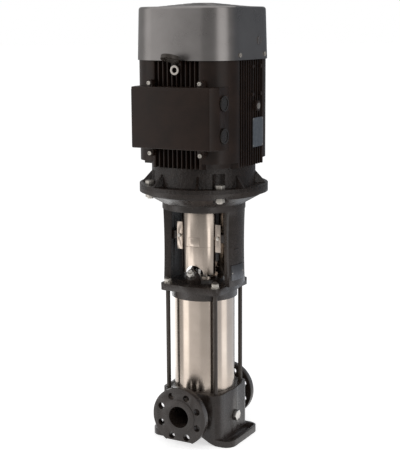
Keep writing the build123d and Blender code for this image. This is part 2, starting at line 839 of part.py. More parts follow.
# Coupling guards: bent sheets with an ear on each side
for name, side in (("guard_front", -1), ("guard_rear", 1)):
    with BuildPart() as guard:
        with BuildSketch(Plane.XY.offset(guard_bottom)):
            Circle(guard_radius)
            Circle(guard_radius - guard_sheet, mode=Mode.SUBTRACT)
            with Locations((0, side * (guard_seat_y - guard_radius))):
                Rectangle(4 * guard_radius, 2 * guard_radius, mode=Mode.SUBTRACT)
        extrude(amount=guard_top - guard_bottom)
        with BuildSketch(Plane.YZ):
            with Locations((side * guard_seat_y, guard_bottom)):
                Rectangle(2 * guard_corner, 2 * guard_corner)
            with Locations((side * (guard_seat_y + guard_corner), guard_bottom + guard_corner)):
                Circle(guard_corner_radius, mode=Mode.SUBTRACT)
        extrude(amount=guard_radius, both=True, mode=Mode.SUBTRACT)
        bend_x = math.sqrt((guard_radius - guard_sheet) ** 2 - guard_seat_y**2)
        with BuildSketch(Plane.XY.offset(guard_middle - guard_ear_height / 2)):
            for hand in (-1, 1):
                ear_middle = hand * (guard_ear_reach + bend_x) / 2
                with Locations((ear_middle, side * (guard_ear_y - guard_sheet / 2))):
                    Rectangle(guard_ear_reach - bend_x, guard_sheet)
        extrude(amount=guard_ear_height)
        with BuildSketch(Plane.XZ.offset(guard_ear_y + guard_radius)):
            with Locations((0, plate_top + vent_rise)):
                Circle(guard_arch_radius)
        extrude(amount=-guard_radius, mode=Mode.SUBTRACT)
        with BuildSketch(Plane.XZ.offset(-2 * guard_ear_y)):
            with Locations(*guard_screw_places):
                Circle(guard_screw_radius + fit_gap)
        extrude(amount=4 * guard_ear_y, mode=Mode.SUBTRACT)
    keep(guard, name)

with BuildPart() as guard_screws:
    for side in (-1, 1):
        with BuildSketch(Plane.XZ.offset(side * guard_ear_y)):
            with Locations(*guard_screw_places):
                Circle(guard_screw_head_radius)
        extrude(amount=side * guard_screw_head_height)
        with BuildSketch(Plane.XZ.offset(side * guard_ear_y)):
            with Locations(*guard_screw_places):
                Circle(guard_screw_radius)
        extrude(amount=-side * guard_screw_length)
keep(guard_screws, "guard_screws")

# Drive-end flange of the motor, with its bell and gussets
hub_radius = drive_bearing_radius + fit_gap + hub_wall
with BuildPart() as motor_flange:
    with BuildSketch(upright_plane(0)):
        ring_profile(shaft_opening_radius, spigot_radius, stool_top - spigot_height, stool_top)
        ring_profile(shaft_opening_radius, flange_radius, stool_top, flange_top)
        ring_profile(bell_radius - bell_wall, bell_radius, flange_top, bell_top)
        ring_profile(drive_bearing_radius + fit_gap, hub_radius, flange_top, drive_bearing_top)
        ring_profile(shaft_opening_radius, hub_radius, flange_top, drive_bearing_bottom)
    revolve(axis=Axis.Z)
    for gusset in range(gusset_count):
        with BuildSketch(upright_plane((gusset + 0.5) * 360 / gusset_count)):
            with BuildLine():
                Polyline(
                    (bell_radius - bell_wall / 2, flange_top),
                    (bell_radius + gusset_reach, flange_top),
                    (bell_radius, flange_top + gusset_height),
                    (bell_radius - bell_wall / 2, flange_top + gusset_height),
                    close=True,
                )
            make_face()
        extrude(amount=gusset_thickness / 2, both=True)
    with BuildSketch(Plane.XY.offset(flange_top)):
        with PolarLocations(flange_bolt_circle / 2, flange_bolt_count, 180 / flange_bolt_count):
            Circle(bell_pocket_radius)
    extrude(amount=bell_pocket_height, mode=Mode.SUBTRACT)
    with BuildSketch(Plane.XY.offset(flange_top)):
        with PolarLocations(flange_bolt_circle / 2, flange_bolt_count, 180 / flange_bolt_count):
            Circle(flange_bolt_radius + bolt_play)
    extrude(amount=-flange_thickness, mode=Mode.SUBTRACT)
keep(motor_flange, "motor_flange")

with BuildPart() as flange_bolts:
    with BuildSketch(Plane.XY.offset(flange_top)):
        with PolarLocations(flange_bolt_circle / 2, flange_bolt_count, 180 / flange_bolt_count):
            RegularPolygon(hexagon_radius(flange_bolt_flats), 6)
    extrude(amount=flange_bolt_head)
    with BuildSketch(Plane.XY.offset(flange_top)):
        with PolarLocations(flange_bolt_circle / 2, flange_bolt_count, 180 / flange_bolt_count):
            Circle(flange_bolt_radius)
    extrude(amount=-(flange_thickness + stool_flange_thickness + flange_nut_height + flange_bolt_stick_out))
keep(flange_bolts, "flange_bolts")

with BuildPart() as flange_nuts:
    with BuildSketch(Plane.XY.offset(stool_top - stool_flange_thickness)):
        with PolarLocations(flange_bolt_circle / 2, flange_bolt_count, 180 / flange_bolt_count):
            RegularPolygon(hexagon_radius(flange_bolt_flats), 6)
            Circle(flange_bolt_radius + fit_gap, mode=Mode.SUBTRACT)
    extrude(amount=-flange_nut_height)
keep(flange_nuts, "flange_nuts")

# Finned stator frame
core_wall_radius = frame_bore_radius + frame_wall
slot_length = 2 * (frame_half_width - core_wall_radius) + frame_bead
with BuildPart() as stator_frame:
    with BuildSketch(Plane.XY.offset(bell_top)):
        RectangleRounded(2 * frame_half_width, 2 * frame_half_width, frame_corner)
        with PolarLocations(0, 4):
            with Locations((frame_half_width, 0)):
                with GridLocations(1, fin_pitch, 1, fin_slots):
                    Rectangle(slot_length, fin_gap, mode=Mode.SUBTRACT)
        Circle(core_wall_radius)
        Circle(frame_bore_radius, mode=Mode.SUBTRACT)
    extrude(amount=frame_height)
    # Below this height only the fins and the round wall go on down to the bell
    with BuildSketch(Plane.XY.offset(bell_top)):
        with GridLocations(2 * frame_half_width, 2 * frame_half_width, 2, 2):
            Rectangle(2 * frame_corner, 2 * frame_corner)
        Circle(bell_radius, mode=Mode.SUBTRACT)
    extrude(amount=frame_corner_rise, mode=Mode.SUBTRACT)
    # Bosses for the lifting eyes, their spare sockets, the leads and the side pads
    for side in (-1, 1):
        with BuildSketch(Plane.XZ.offset(side * (frame_half_width + socket_reach))):
            with Locations((0, frame_top - socket_drop)):
                Circle(socket_radius)
        extrude(amount=-side * (frame_half_width + socket_reach - core_wall_radius))
        with BuildSketch(Plane.XZ.offset(side * (frame_half_width + socket_reach))):
            with Locations((0, frame_top - socket_drop)):
                Circle(socket_hole_radius)
        extrude(amount=-side * socket_hole_depth, mode=Mode.SUBTRACT)
        with BuildSketch(Plane.XZ.offset(side * frame_half_width)):
            with Locations((0, frame_top - eye_drop)):
                Rectangle(eye_pad_width, 2 * eye_drop)
        extrude(amount=-side * (frame_half_width - core_wall_radius))
    with BuildSketch(Plane.XZ.offset(frame_half_width)):
        with Locations((0, box_middle)):
            Circle(lead_boss_radius)
    extrude(amount=-(frame_half_width - core_wall_radius))
    with BuildSketch(Plane.XZ.offset(frame_half_width)):
        with Locations((0, box_middle)):
            Circle(lead_hole_radius)
    extrude(amount=-(frame_half_width - frame_bore_radius + frame_wall), mode=Mode.SUBTRACT)
    with BuildSketch(Plane.YZ.offset(frame_half_width + side_boss_reach)):
        with Locations((side_boss_y, frame_top - side_boss_drop)):
            Circle(side_boss_radius)
    extrude(amount=-(frame_half_width + side_boss_reach - core_wall_radius))
    with BuildSketch(Plane.YZ.offset(frame_half_width + pad_reach)):
        with Locations((pad_y, frame_top - pad_drop - pad_span_z / 2)):
            with GridLocations(pad_span_y, pad_span_z, 2, 2):
                Circle(pad_radius)
    extrude(amount=-(frame_half_width + pad_reach - core_wall_radius))
keep(stator_frame, "stator_frame")

# Stator core, windings and rotor
with BuildPart() as stator_core:
    with BuildSketch(Plane.XY.offset(core_bottom)):
        Circle(frame_bore_radius - fit_gap)
        Circle(core_bore_radius, mode=Mode.SUBTRACT)
    extrude(amount=core_length)
keep(stator_core, "stator_core")

with BuildPart() as stator_windings:
    for bottom in (core_bottom - winding_overhang, core_top):
        with BuildSketch(Plane.XY.offset(bottom)):
            Circle(core_bore_radius + winding_setback + winding_thickness)
            Circle(core_bore_radius + winding_setback, mode=Mode.SUBTRACT)
        extrude(amount=winding_overhang)
keep(stator_windings, "stator_windings")

with BuildPart() as rotor_core:
    with BuildSketch(Plane.XY.offset(core_bottom)):
        Circle(core_bore_radius - rotor_air_gap)
        Circle(rotor_seat_radius + fit_gap / 2, mode=Mode.SUBTRACT)
    extrude(amount=core_length)
keep(rotor_core, "rotor_core")

seat_bottom = core_bottom - rotor_seat_overhang
seat_top = core_top + rotor_seat_overhang
fan_bearing_top = fan_bearing_bottom + fan_bearing_width
with BuildPart() as motor_shaft:
    with BuildSketch(upright_plane(0)):
        ring_profile(0, motor_shaft_radius, motor_shaft_bottom, drive_bearing_bottom)
        ring_profile(0, bearing_bore_radius, drive_bearing_bottom, seat_bottom)
        ring_profile(0, rotor_seat_radius, seat_bottom, seat_top)
        ring_profile(0, bearing_bore_radius, seat_top, fan_bearing_top)
        ring_profile(0, fan_seat_radius, fan_bearing_top, fan_bottom + fan_hub_height)
    revolve(axis=Axis.Z)
keep(motor_shaft, "motor_shaft")

# Bearings at the drive end and at the fan end, each an outer and an inner ring
for name, bottom, radius, width in (
    ("drive_bearing", drive_bearing_bottom, drive_bearing_radius, drive_bearing_width),
    ("fan_bearing", fan_bearing_bottom, fan_bearing_radius, fan_bearing_width),
):
    middle_radius = (bearing_bore_radius + radius) / 2
    with BuildPart() as outer_ring:
        with BuildSketch(Plane.XY.offset(bottom)):
            Circle(radius)
            Circle(middle_radius + running_gap, mode=Mode.SUBTRACT)
        extrude(amount=width)
    keep(outer_ring, f"{name}_outer_ring")
    with BuildPart() as inner_ring:
        with BuildSketch(Plane.XY.offset(bottom)):
            Circle(middle_radius)
            Circle(bearing_bore, mode=Mode.SUBTRACT)
        extrude(amount=width)
    keep(inner_ring, f"{name}_inner_ring")

# Fan-end shield with the lugs that carry the fan cover
shield_hub_radius = fan_bearing_radius + fit_gap + hub_wall
shield_web_radius = shield_hub_radius - hub_wall / 2
lug_reach = cover_half_width - cover_wall - cover_lug_gap
lug_middle = lug_reach - cover_lug_length / 2
screw_z = cover_bottom + cover_screw_rise
screw_grid = [(-cover_screw_y, screw_z), (cover_screw_y, screw_z)]
with BuildPart() as fan_end_shield:
    with BuildSketch(upright_plane(0)):
        ring_profile(fan_bearing_radius + fit_gap, shield_hub_radius, fan_bearing_bottom, fan_bearing_top)
        ring_profile(shaft_opening_radius, shield_hub_radius, fan_bearing_top, frame_top + shield_thickness)
        ring_profile(shield_web_radius, shield_radius, frame_top, frame_top + shield_thickness)
        ring_profile(
            frame_bore_radius - fit_gap - shield_thickness,
            frame_bore_radius - fit_gap,
            frame_top - shield_register,
            frame_top,
        )
    revolve(axis=Axis.Z)
    with BuildSketch(Plane.XY.offset(frame_top)):
        with GridLocations(2 * lug_middle, 2 * cover_screw_y, 2, 2):
            Rectangle(cover_lug_length, cover_lug_width)
    extrude(amount=cover_lug_height)
    with BuildSketch(Plane.YZ.offset(-cover_half_width)):
        with Locations(*screw_grid):
            Circle(cover_screw_radius + fit_gap)
    extrude(amount=2 * cover_half_width, mode=Mode.SUBTRACT)
keep(fan_end_shield, "fan_end_shield")

hub_middle_radius = fan_seat_radius + fan_hub_wall / 2
with BuildPart() as cooling_fan:
    with BuildSketch(upright_plane(0)):
        ring_profile(
            fan_seat_radius + fit_gap / 2,
            fan_seat_radius + fan_hub_wall,
            fan_bottom,
            fan_bottom + fan_hub_height,
        )
        ring_profile(hub_middle_radius, fan_disc_radius, fan_bottom, fan_bottom + fan_disc_thickness)
    revolve(axis=Axis.Z)
    blade_length = fan_radius - hub_middle_radius
    with BuildSketch(Plane.XY.offset(fan_bottom)):
        with PolarLocations(fan_radius - blade_length / 2, fan_blades):
            Rectangle(blade_length, fan_blade_thickness)
    extrude(amount=fan_blade_height)
keep(cooling_fan, "cooling_fan")

# Fan cover: a drawn bowl with a crowned top, an air grille and a notch for each eye
def cover_bowl(inset, soften, size):
    """Solid bowl in the shape of the fan cover, drawn in by the inset, its shoulder softened."""
    rim_top = cover_top - cover_crown - inset
    with BuildPart(mode=Mode.PRIVATE) as bowl:
        with BuildSketch(Plane.XY.offset(cover_bottom)):
            width = 2 * (cover_half_width - inset)
            RectangleRounded(width, width, cover_corner - inset)
        extrude(amount=rim_top - cover_bottom, taper=cover_taper)
        soften(bowl.faces().sort_by(Axis.Z)[-1].edges(), size)
        with BuildSketch(upright_plane(0)):
            with BuildLine():
                Polyline(
                    (0, rim_top),
                    (cover_crown_reach, rim_top),
                    (grille_inner_radius, rim_top + cover_crown),
                    (0, rim_top + cover_crown),
                    close=True,
                )
            make_face()
        revolve(axis=Axis.Z)
    return bowl.part


with BuildPart() as fan_cover:
    add(cover_bowl(0, fillet, cover_edge_radius))
    add(cover_bowl(cover_wall, chamfer, cover_edge_radius / 2), mode=Mode.SUBTRACT)
    with BuildSketch(Plane.XY.offset(cover_top)):
        for ring in reversed(range(grille_rings)):
            Circle(grille_inner_radius + ring * grille_pitch + grille_slot)
            Circle(grille_inner_radius + ring * grille_pitch, mode=Mode.SUBTRACT)
        with PolarLocations(0, grille_spokes):
            with Locations((cover_half_width / 2, 0)):
                Rectangle(cover_half_width, grille_spoke_width, mode=Mode.SUBTRACT)
    extrude(amount=-2 * cover_crown, mode=Mode.SUBTRACT)
    with BuildSketch(Plane.XZ.offset(cover_half_width + cover_wall)):
        with Locations((0, cover_bottom)):
            Rectangle(cover_notch_width, 2 * cover_notch_height)
    extrude(amount=-2 * (cover_half_width + cover_wall), mode=Mode.SUBTRACT)
    with BuildSketch(Plane.YZ.offset(-cover_half_width - cover_wall)):
        with Locations(*screw_grid):
            Circle(cover_screw_radius + fit_gap)
    extrude(amount=2 * (cover_half_width + cover_wall), mode=Mode.SUBTRACT)
keep(fan_cover, "fan_cover")

with BuildPart() as fan_cover_screws:
    for side in (-1, 1):
        with BuildSketch(Plane.YZ.offset(side * cover_half_width)):
            with Locations(*screw_grid):
                Circle(cover_screw_head_radius)
        extrude(amount=side * cover_screw_head_height)
        with BuildSketch(Plane.YZ.offset(side * cover_half_width)):
            with Locations(*screw_grid):
                Circle(cover_screw_radius)
        extrude(amount=-side * cover_screw_length)
keep(fan_cover_screws, "fan_cover_screws")

# Terminal box: a tray that wraps the frame's corners, and a deep cover
box_lugs = [
    (x, z)
    for x in (box_centre_x - box_lug_x, box_centre_x + box_lug_x)
    for z in (box_bottom - box_lug_rise, box_top + box_lug_rise)
]


def box_outline(inset):
    """Outline of the box in the open sketch, drawn inwards by the inset."""
    with Locations((box_centre_x, box_middle)):
        Rectangle(box_width - 2 * inset, box_height - 2 * inset)


def cover_block(inset, depth):
    """Solid block from the parting forward, its ends slanted, drawn inwards by the inset."""
    forward = depth / box_cover_depth
    with BuildPart(mode=Mode.PRIVATE) as block:
        with BuildSketch(Plane.XY.offset(box_bottom + inset)):
            with BuildLine():
                Polyline(
                    (inset - box_left, box_parting),
                    (box_right - inset, box_parting),
                    (box_right - inset - forward * box_slant_right, box_parting - depth),
                    (inset - box_left + forward * box_slant_left, box_parting - depth),
                    close=True,
                )
            make_face()
        extrude(amount=box_height - 2 * inset)
    return block.part


def box_lug_outline():
    """Four round lugs above and below the box, each with a web back to it."""
    with Locations(*box_lugs):
        Circle(box_lug_radius)
    for x, z in box_lugs:
        with Locations((x, (z + box_middle) / 2)):
            Rectangle(2 * box_lug_radius, abs(z - box_middle))


def frame_block(gap):
    """Envelope of the stator frame, grown by a gap, to cut a piece that wraps it."""
    with BuildPart() as block:
        with BuildSketch(Plane.XY.offset(bell_top)):
            width = 2 * (frame_half_width + gap)
            RectangleRounded(width, width, frame_corner + gap)
        extrude(amount=frame_height)
    return block.part


with BuildPart(mode=Mode.PRIVATE) as box_hollow:
    with BuildSketch(Plane.XZ.offset(-box_parting)):
        box_outline(box_wall)
    extrude(amount=-box_parting - frame_half_width + frame_corner, dir=(0, 1, 0))
    add(frame_block(fit_gap + box_wall), mode=Mode.SUBTRACT)

entry_y = box_parting + entry_setback
entry_grid = [(entry_y, box_middle - entry_span / 2), (entry_y, box_middle + entry_span / 2)]
with BuildPart() as terminal_box:
    with BuildSketch(Plane.XZ.offset(-box_parting)):
        box_outline(0)
    extrude(amount=-box_parting - frame_half_width + frame_corner, dir=(0, 1, 0))
    with BuildSketch(Plane.XZ.offset(-box_parting)):
        box_lug_outline()
    extrude(amount=box_lug_thickness, dir=(0, 1, 0))
    add(frame_block(fit_gap), mode=Mode.SUBTRACT)
    add(box_hollow.part, mode=Mode.SUBTRACT)
    with BuildSketch(Plane.XZ.offset(-box_parting)):
        with Locations(*box_lugs):
            Circle(box_screw_radius + fit_gap)
    extrude(amount=box_lug_thickness, dir=(0, 1, 0), mode=Mode.SUBTRACT)
    with BuildSketch(Plane.XZ.offset(-box_parting)):
        with Locations((0, box_middle)):
            Circle(lead_hole_radius)
    extrude(amount=box_depth, dir=(0, 1, 0), mode=Mode.SUBTRACT)
    with BuildSketch(Plane.YZ.offset(box_right)):
        with Locations(*entry_grid):
            Circle(entry_radius + fit_gap)
    extrude(amount=-2 * box_wall, mode=Mode.SUBTRACT)
keep(terminal_box, "terminal_box")

with BuildPart() as terminal_box_cover:
    add(cover_block(0, box_cover_depth))
    fillet(terminal_box_cover.edges().filter_by(Axis.Z).group_by(Axis.Y)[0], box_corner)
    fillet(terminal_box_cover.faces().sort_by(Axis.Y)[0].edges(), box_edge_radius)
    with BuildSketch(Plane.XZ.offset(-box_parting)):
        box_lug_outline()
    extrude(amount=box_lug_thickness)
    add(cover_block(box_wall, box_cover_depth - box_front_wall), mode=Mode.SUBTRACT)
    with BuildSketch(Plane.XZ.offset(-box_parting)):
        with Locations(*box_lugs):
            Circle(box_screw_radius + fit_gap)
    extrude(amount=box_lug_thickness, mode=Mode.SUBTRACT)
keep(terminal_box_cover, "terminal_box_cover")

with BuildPart() as terminal_box_screws:
    with BuildSketch(Plane.XZ.offset(-box_parting + box_lug_thickness)):
        with Locations(*box_lugs):
            Circle(box_screw_head_radius)
    extrude(amount=box_screw_head_height)
    with BuildSketch(Plane.XZ.offset(-box_parting + box_lug_thickness)):
        with Locations(*box_lugs):
            Circle(box_screw_radius)
    extrude(amount=-2 * box_lug_thickness)
keep(terminal_box_screws, "terminal_box_screws")

terminal_back = frame_half_width + fit_gap + box_wall
with BuildPart() as terminal_board:
    with BuildSketch(Plane.XZ.offset(terminal_back)):
        with Locations((0, box_middle)):
            Rectangle(terminal_width, terminal_height)
            Circle(lead_hole_radius, mode=Mode.SUBTRACT)
    extrude(amount=terminal_depth)
    with BuildSketch(Plane.XZ.offset(terminal_back + terminal_depth)):
        with Locations((0, box_middle)):
            with GridLocations(terminal_post_pitch_x, terminal_post_pitch_z, 3, 2):
                Circle(terminal_post_radius)
    extrude(amount=terminal_post_height)
keep(terminal_board, "terminal_board")

with BuildPart() as cable_entry_plugs:
    with BuildSketch(Plane.YZ.offset(box_right)):
        with Locations(*entry_grid):
            Circle(entry_cap_radius)
    extrude(amount=entry_cap_height)
    with BuildSketch(Plane.YZ.offset(box_right)):
        with Locations(*entry_grid):
            Circle(entry_radius)
    extrude(amount=-2 * box_wall)
keep(cable_entry_plugs, "cable_entry_plugs")

# Lifting eyes lean up and out from the two port sides of the frame
with BuildPart() as lifting_eyes:
    for side in (-1, 1):
        lean = math.radians(eye_angle)
        outward = Vector(0, side * math.cos(lean), math.sin(lean))
        root = Vector(0, side * frame_half_width, frame_top - eye_drop)
        middle = root + outward * eye_distance
        upward = Vector(0, -side * math.sin(lean), math.cos(lean))
        eye_plane = Plane(origin=middle, x_dir=(1, 0, 0), z_dir=upward)
        with BuildSketch(eye_plane):
            Circle(eye_radius)
        extrude(amount=eye_thickness / 2, both=True)
        with BuildSketch(Plane(origin=root, x_dir=(1, 0, 0), z_dir=outward)):
            Circle(eye_shank_radius)
        extrude(amount=eye_distance)
        with BuildSketch(eye_plane):
            Circle(eye_hole_radius)
        extrude(amount=eye_thickness, both=True, mode=Mode.SUBTRACT)
    with BuildSketch(Plane.XZ):
        Rectangle(4 * eye_radius, 4 * cover_top)
    extrude(amount=frame_half_width, both=True, mode=Mode.SUBTRACT)
keep(lifting_eyes, "lifting_eyes")
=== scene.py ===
"""Looks of the vertical multistage pump: finishes, softened edges, plates, screws, floor and lamps.

Every length is in metres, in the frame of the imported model: +Z up along the shaft, the
inlet flange and the terminal box towards -Y, the drain plug and the plates towards +X.
"""

import logging
import math
from dataclasses import dataclass
from enum import Enum
from typing import Any, Callable, Sequence

import bmesh
import bpy
from mathutils import Matrix, Vector


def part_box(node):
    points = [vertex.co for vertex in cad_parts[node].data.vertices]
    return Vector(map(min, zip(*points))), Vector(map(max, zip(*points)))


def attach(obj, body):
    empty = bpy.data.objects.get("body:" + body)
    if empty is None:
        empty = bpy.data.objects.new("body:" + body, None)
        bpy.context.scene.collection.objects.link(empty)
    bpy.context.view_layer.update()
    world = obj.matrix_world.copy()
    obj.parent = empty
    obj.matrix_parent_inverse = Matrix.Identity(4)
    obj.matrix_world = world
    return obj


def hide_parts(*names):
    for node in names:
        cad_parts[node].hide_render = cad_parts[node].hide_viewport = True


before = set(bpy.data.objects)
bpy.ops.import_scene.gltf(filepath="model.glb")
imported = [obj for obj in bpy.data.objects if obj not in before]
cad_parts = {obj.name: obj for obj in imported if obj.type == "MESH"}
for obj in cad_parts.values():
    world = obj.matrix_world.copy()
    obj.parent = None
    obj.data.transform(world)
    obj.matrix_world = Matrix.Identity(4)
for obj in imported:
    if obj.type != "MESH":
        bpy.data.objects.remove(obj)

Triple = tuple[float, float, float]
Span = tuple[float, float]
Piece = bpy.types.Object
Tree = bpy.types.NodeTree
Socket = bpy.types.NodeSocket
FaceTest = Callable[[Vector, Vector], bool]

LOG = logging.getLogger("pump")
MM = 0.001
FIXED = "pump_and_motor"
ROTOR = "rotor"
VENT = "vent_screw"
WHITE = "ffffff"
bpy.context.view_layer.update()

# Least dot product of two unit directions that counts as the same way, closely and roughly
SQUARE_ON = 0.97
ROUGHLY_ON = 0.9
# Corners nearer than this are one, and faces that turn by less than this are one
WELD = 0.002 * MM
FLAT_TURN = math.radians(0.6)
# Sides of what is turned: the screen and the floor, a ring, a button; steps round a bent strip
SCREEN_SIDES = 96
RING_SIDES = 48
BUTTON_SIDES = 40
BEND_STEPS = 24


def linear(code: str) -> tuple[float, float, float, float]:
    """Turn an sRGB colour code into linear light.

    Args:
        code: Six hexadecimal digits, two each for red, green and blue.

    Returns:
        Red, green, blue and a full alpha.
    """
    shares = [int(code[place : place + 2], 16) / 255 for place in (0, 2, 4)]
    light = [s / 12.92 if s <= 0.04045 else ((s + 0.055) / 1.055) ** 2.4 for s in shares]
    return light[0], light[1], light[2], 1.0


def add_node(
    tree: Tree,
    kind: str,
    settings: dict[Any, Any] | None = None,
    links: dict[Any, Socket] | None = None,
) -> bpy.types.Node:
    """Add a shader node with its settings and its incoming links.

    Args:
        tree: Node tree that gets the node.
        kind: Blender's name of the node's type, without the ShaderNode before it.
        settings: Values by the name of a property, or by the name or number of an input.
        links: Outgoing sockets of other nodes by the name or number of the input they feed.

    Returns:
        The new node.
    """
    node = tree.nodes.new(f"ShaderNode{kind}")
    for key, value in (settings or {}).items():
        if isinstance(key, str) and hasattr(node, key):
            setattr(node, key, value)
        else:
            node.inputs[key].default_value = value
    for key, socket in (links or {}).items():
        tree.links.new(socket, node.inputs[key])
    return node


def bare_material(name: str) -> bpy.types.Material:
    """Make a material whose node tree is empty.

    Args:
        name: Name of the material.

    Returns:
        The new material.
    """
    made = bpy.data.materials.new(name)
    made.use_nodes = True
    made.node_tree.nodes.clear()
    return made


class Surface(Enum):
    """How a surface was made, which decides the relief it gets."""

    CAST = "cast in sand, then coated"
    PAINTED = "smooth under paint"
    BRUSHED = "ground with lines round the shaft"
    PLATED = "plated over a drawn or turned surface"
    MOULDED = "moulded plastic"


# Noise of the wide patches and of the fine grain
PATCH_NOISE = {"Detail": 3.0, "Roughness": 0.55}
GRAIN_NOISE = {"Detail": 5.0, "Roughness": 0.6}
# How much of the grain joins the patches, and where their sum turns from the first colour to the second
GRAIN_SHARE = 0.45
COLOUR_TURN = {"From Min": 0.45, "From Max": 0.95}
LEAST_ROUGHNESS = 0.02
RELIEF_STRENGTH = 0.6
# Brushed lines are long round the shaft and narrow along it, and draw reflections out across themselves
BRUSHED_STRETCH = (0.03, 0.03, 1.0)
EVEN_STRETCH = (1.0, 1.0, 1.0)
ACROSS_LINES = 0.25


@dataclass(frozen=True)
class Finish:
    """One material and the way its surface was made.

    Attributes:
        name: Name of the material.
        slot: Name of the material slot for this finish; not used.
        surface: How the surface was made.
        colour: Main colour as an sRGB code.
        patch: Colour of the slightly different patches.
        roughness: Mean roughness.
        spread: How far the roughness moves either way.
        patch_mm: Width of a patch of colour or gloss.
        grain_mm: Width of one grain or line of the relief.
        depth_mm: Depth of the relief.
        metallic: One for bare metal, less for metallic paint, zero for paint and plastic.
        specular: Level of the mirror share on paint and plastic, 0.5 for a plain resin.
        drawn: How far the brush lines draw a reflection out along the shaft.
    """

    name: str
    slot: str
    surface: Surface
    colour: str
    patch: str
    roughness: float
    spread: float
    patch_mm: float
    grain_mm: float
    depth_mm: float
    metallic: float = 0.0
    specular: float = 0.5
    drawn: float = 0.0

    def stretch(self) -> Triple:
        """Scale of the relief along each axis."""
        return BRUSHED_STRETCH if self.surface is Surface.BRUSHED else EVEN_STRETCH

    def material(self) -> bpy.types.Material:
        """Build the material, or find it where it was built before.

        Returns:
            A material whose pattern reads Object coordinates.
        """
        known = bpy.data.materials.get(self.name)
        if known:
            return known
        made = bare_material(self.name)
        tree = made.node_tree
        place = add_node(tree, "TexCoord").outputs["Object"]
        wide = {"Scale": 1 / (self.patch_mm * MM), **PATCH_NOISE}
        patches = add_node(tree, "TexNoise", wide, {"Vector": place}).outputs[0]
        stretched = add_node(tree, "Mapping", {"Scale": self.stretch()}, {"Vector": place}).outputs[0]
        fine = {"Scale": 1 / (self.grain_mm * MM), **GRAIN_NOISE}
        grain = add_node(tree, "TexNoise", fine, {"Vector": stretched}).outputs[0]
        sum_up = {"operation": "MULTIPLY_ADD", 1: GRAIN_SHARE}
        both = add_node(tree, "Math", sum_up, {0: grain, 2: patches}).outputs[0]
        share = add_node(tree, "MapRange", COLOUR_TURN, {"Value": both}).outputs[0]
        colours = {"data_type": "RGBA", 6: linear(self.colour), 7: linear(self.patch)}
        colour = add_node(tree, "Mix", colours, {0: share}).outputs[2]
        least = max(self.roughness - self.spread, LEAST_ROUGHNESS)
        levels = {"To Min": least, "To Max": self.roughness + self.spread}
        gloss = add_node(tree, "MapRange", levels, {"Value": share}).outputs[0]
        depth = {"Strength": RELIEF_STRENGTH, "Distance": self.depth_mm * MM}
        relief = add_node(tree, "Bump", depth, {"Height": grain}).outputs[0]
        sheen = {"Metallic": self.metallic, "Specular IOR Level": self.specular}
        links = {"Base Color": colour, "Roughness": gloss, "Normal": relief}
        shader = add_node(tree, "BsdfPrincipled", sheen, links)
        if self.drawn:
            around = add_node(tree, "Tangent", {"direction_type": "RADIAL", "axis": "Z"})
            tree.links.new(around.outputs[0], shader.inputs["Tangent"])
            shader.inputs["Anisotropic"].default_value = self.drawn
            shader.inputs["Anisotropic Rotation"].default_value = ACROSS_LINES
        add_node(tree, "OutputMaterial", None, {"Surface": shader.outputs[0]})
        return made


# Cathodic dip coat on sand-cast grey iron: black-brown and satin over a pitted grain
DIPPED_IRON = Finish(
    "dipped_cast_iron", "cast_coating", Surface.CAST, "251f1b", "332b27",
    roughness=0.26, spread=0.08, patch_mm=35, grain_mm=3.6, depth_mm=0.9, specular=0.45,
)
# The same coat where the casting is rougher, as on the motor's bell: it glints on the lumps
ROUGH_IRON = Finish(
    "rough_cast_shield", "motor_paint", Surface.CAST, "1a1411", "29211d",
    roughness=0.24, spread=0.08, patch_mm=18, grain_mm=8.0, depth_mm=4.0, specular=0.35,
)
# Near-black enamel on die-cast aluminium: smooth and nearly dull
MOTOR_ENAMEL = Finish(
    "motor_enamel", "motor_paint", Surface.PAINTED, "1d1511", "291d17",
    roughness=0.34, spread=0.06, patch_mm=50, grain_mm=3.0, depth_mm=0.1, specular=0.24,
)
# Metallic paint on the deep-drawn hood: dark grey with flakes that brighten towards the light
HOOD_PAINT = Finish(
    "hood_metallic_paint", "cover_paint", Surface.PAINTED, "85817f", "908c8a",
    metallic=0.95, roughness=0.29, spread=0.03, patch_mm=60, grain_mm=1.2, depth_mm=0.02,
)
# Rolled stainless sheet, brushed round: warm in white light, with long stretched highlights
BRUSHED_STAINLESS = Finish(
    "brushed_stainless", "stainless", Surface.BRUSHED, "c2b5a9", "b5a89c",
    metallic=1.0, roughness=0.21, spread=0.03, patch_mm=60, grain_mm=1.6, depth_mm=0.02, drawn=0.75,
)
# Bright nickel on the vent and drain plugs: nearly a mirror
BRIGHT_PLATING = Finish(
    "bright_plating", "zinc", Surface.PLATED, "d8d4cf", "c9c4be",
    metallic=1.0, roughness=0.2, spread=0.05, patch_mm=8, grain_mm=1.5, depth_mm=0.03,
)
# Zinc plating on forged fasteners: pale and clouded
ZINC = Finish(
    "zinc_plating", "zinc", Surface.PLATED, "d2cdc5", "bcb6ad",
    metallic=0.85, roughness=0.4, spread=0.1, patch_mm=7, grain_mm=1.5, depth_mm=0.05,
)
# Bare turned or milled aluminium round the motor's threads: pale and finely lined
TURNED_ALUMINIUM = Finish(
    "turned_aluminium", "bright_steel", Surface.BRUSHED, "cfc8c0", "bfb8b0",
    metallic=1.0, roughness=0.34, spread=0.06, patch_mm=8, grain_mm=0.9, depth_mm=0.02,
)
# Ground shaft steel: cool and even
GROUND_STEEL = Finish(
    "ground_steel", "bright_steel", Surface.BRUSHED, "c4c2bf", "b4b1ae",
    metallic=1.0, roughness=0.2, spread=0.04, patch_mm=30, grain_mm=0.8, depth_mm=0.01,
)
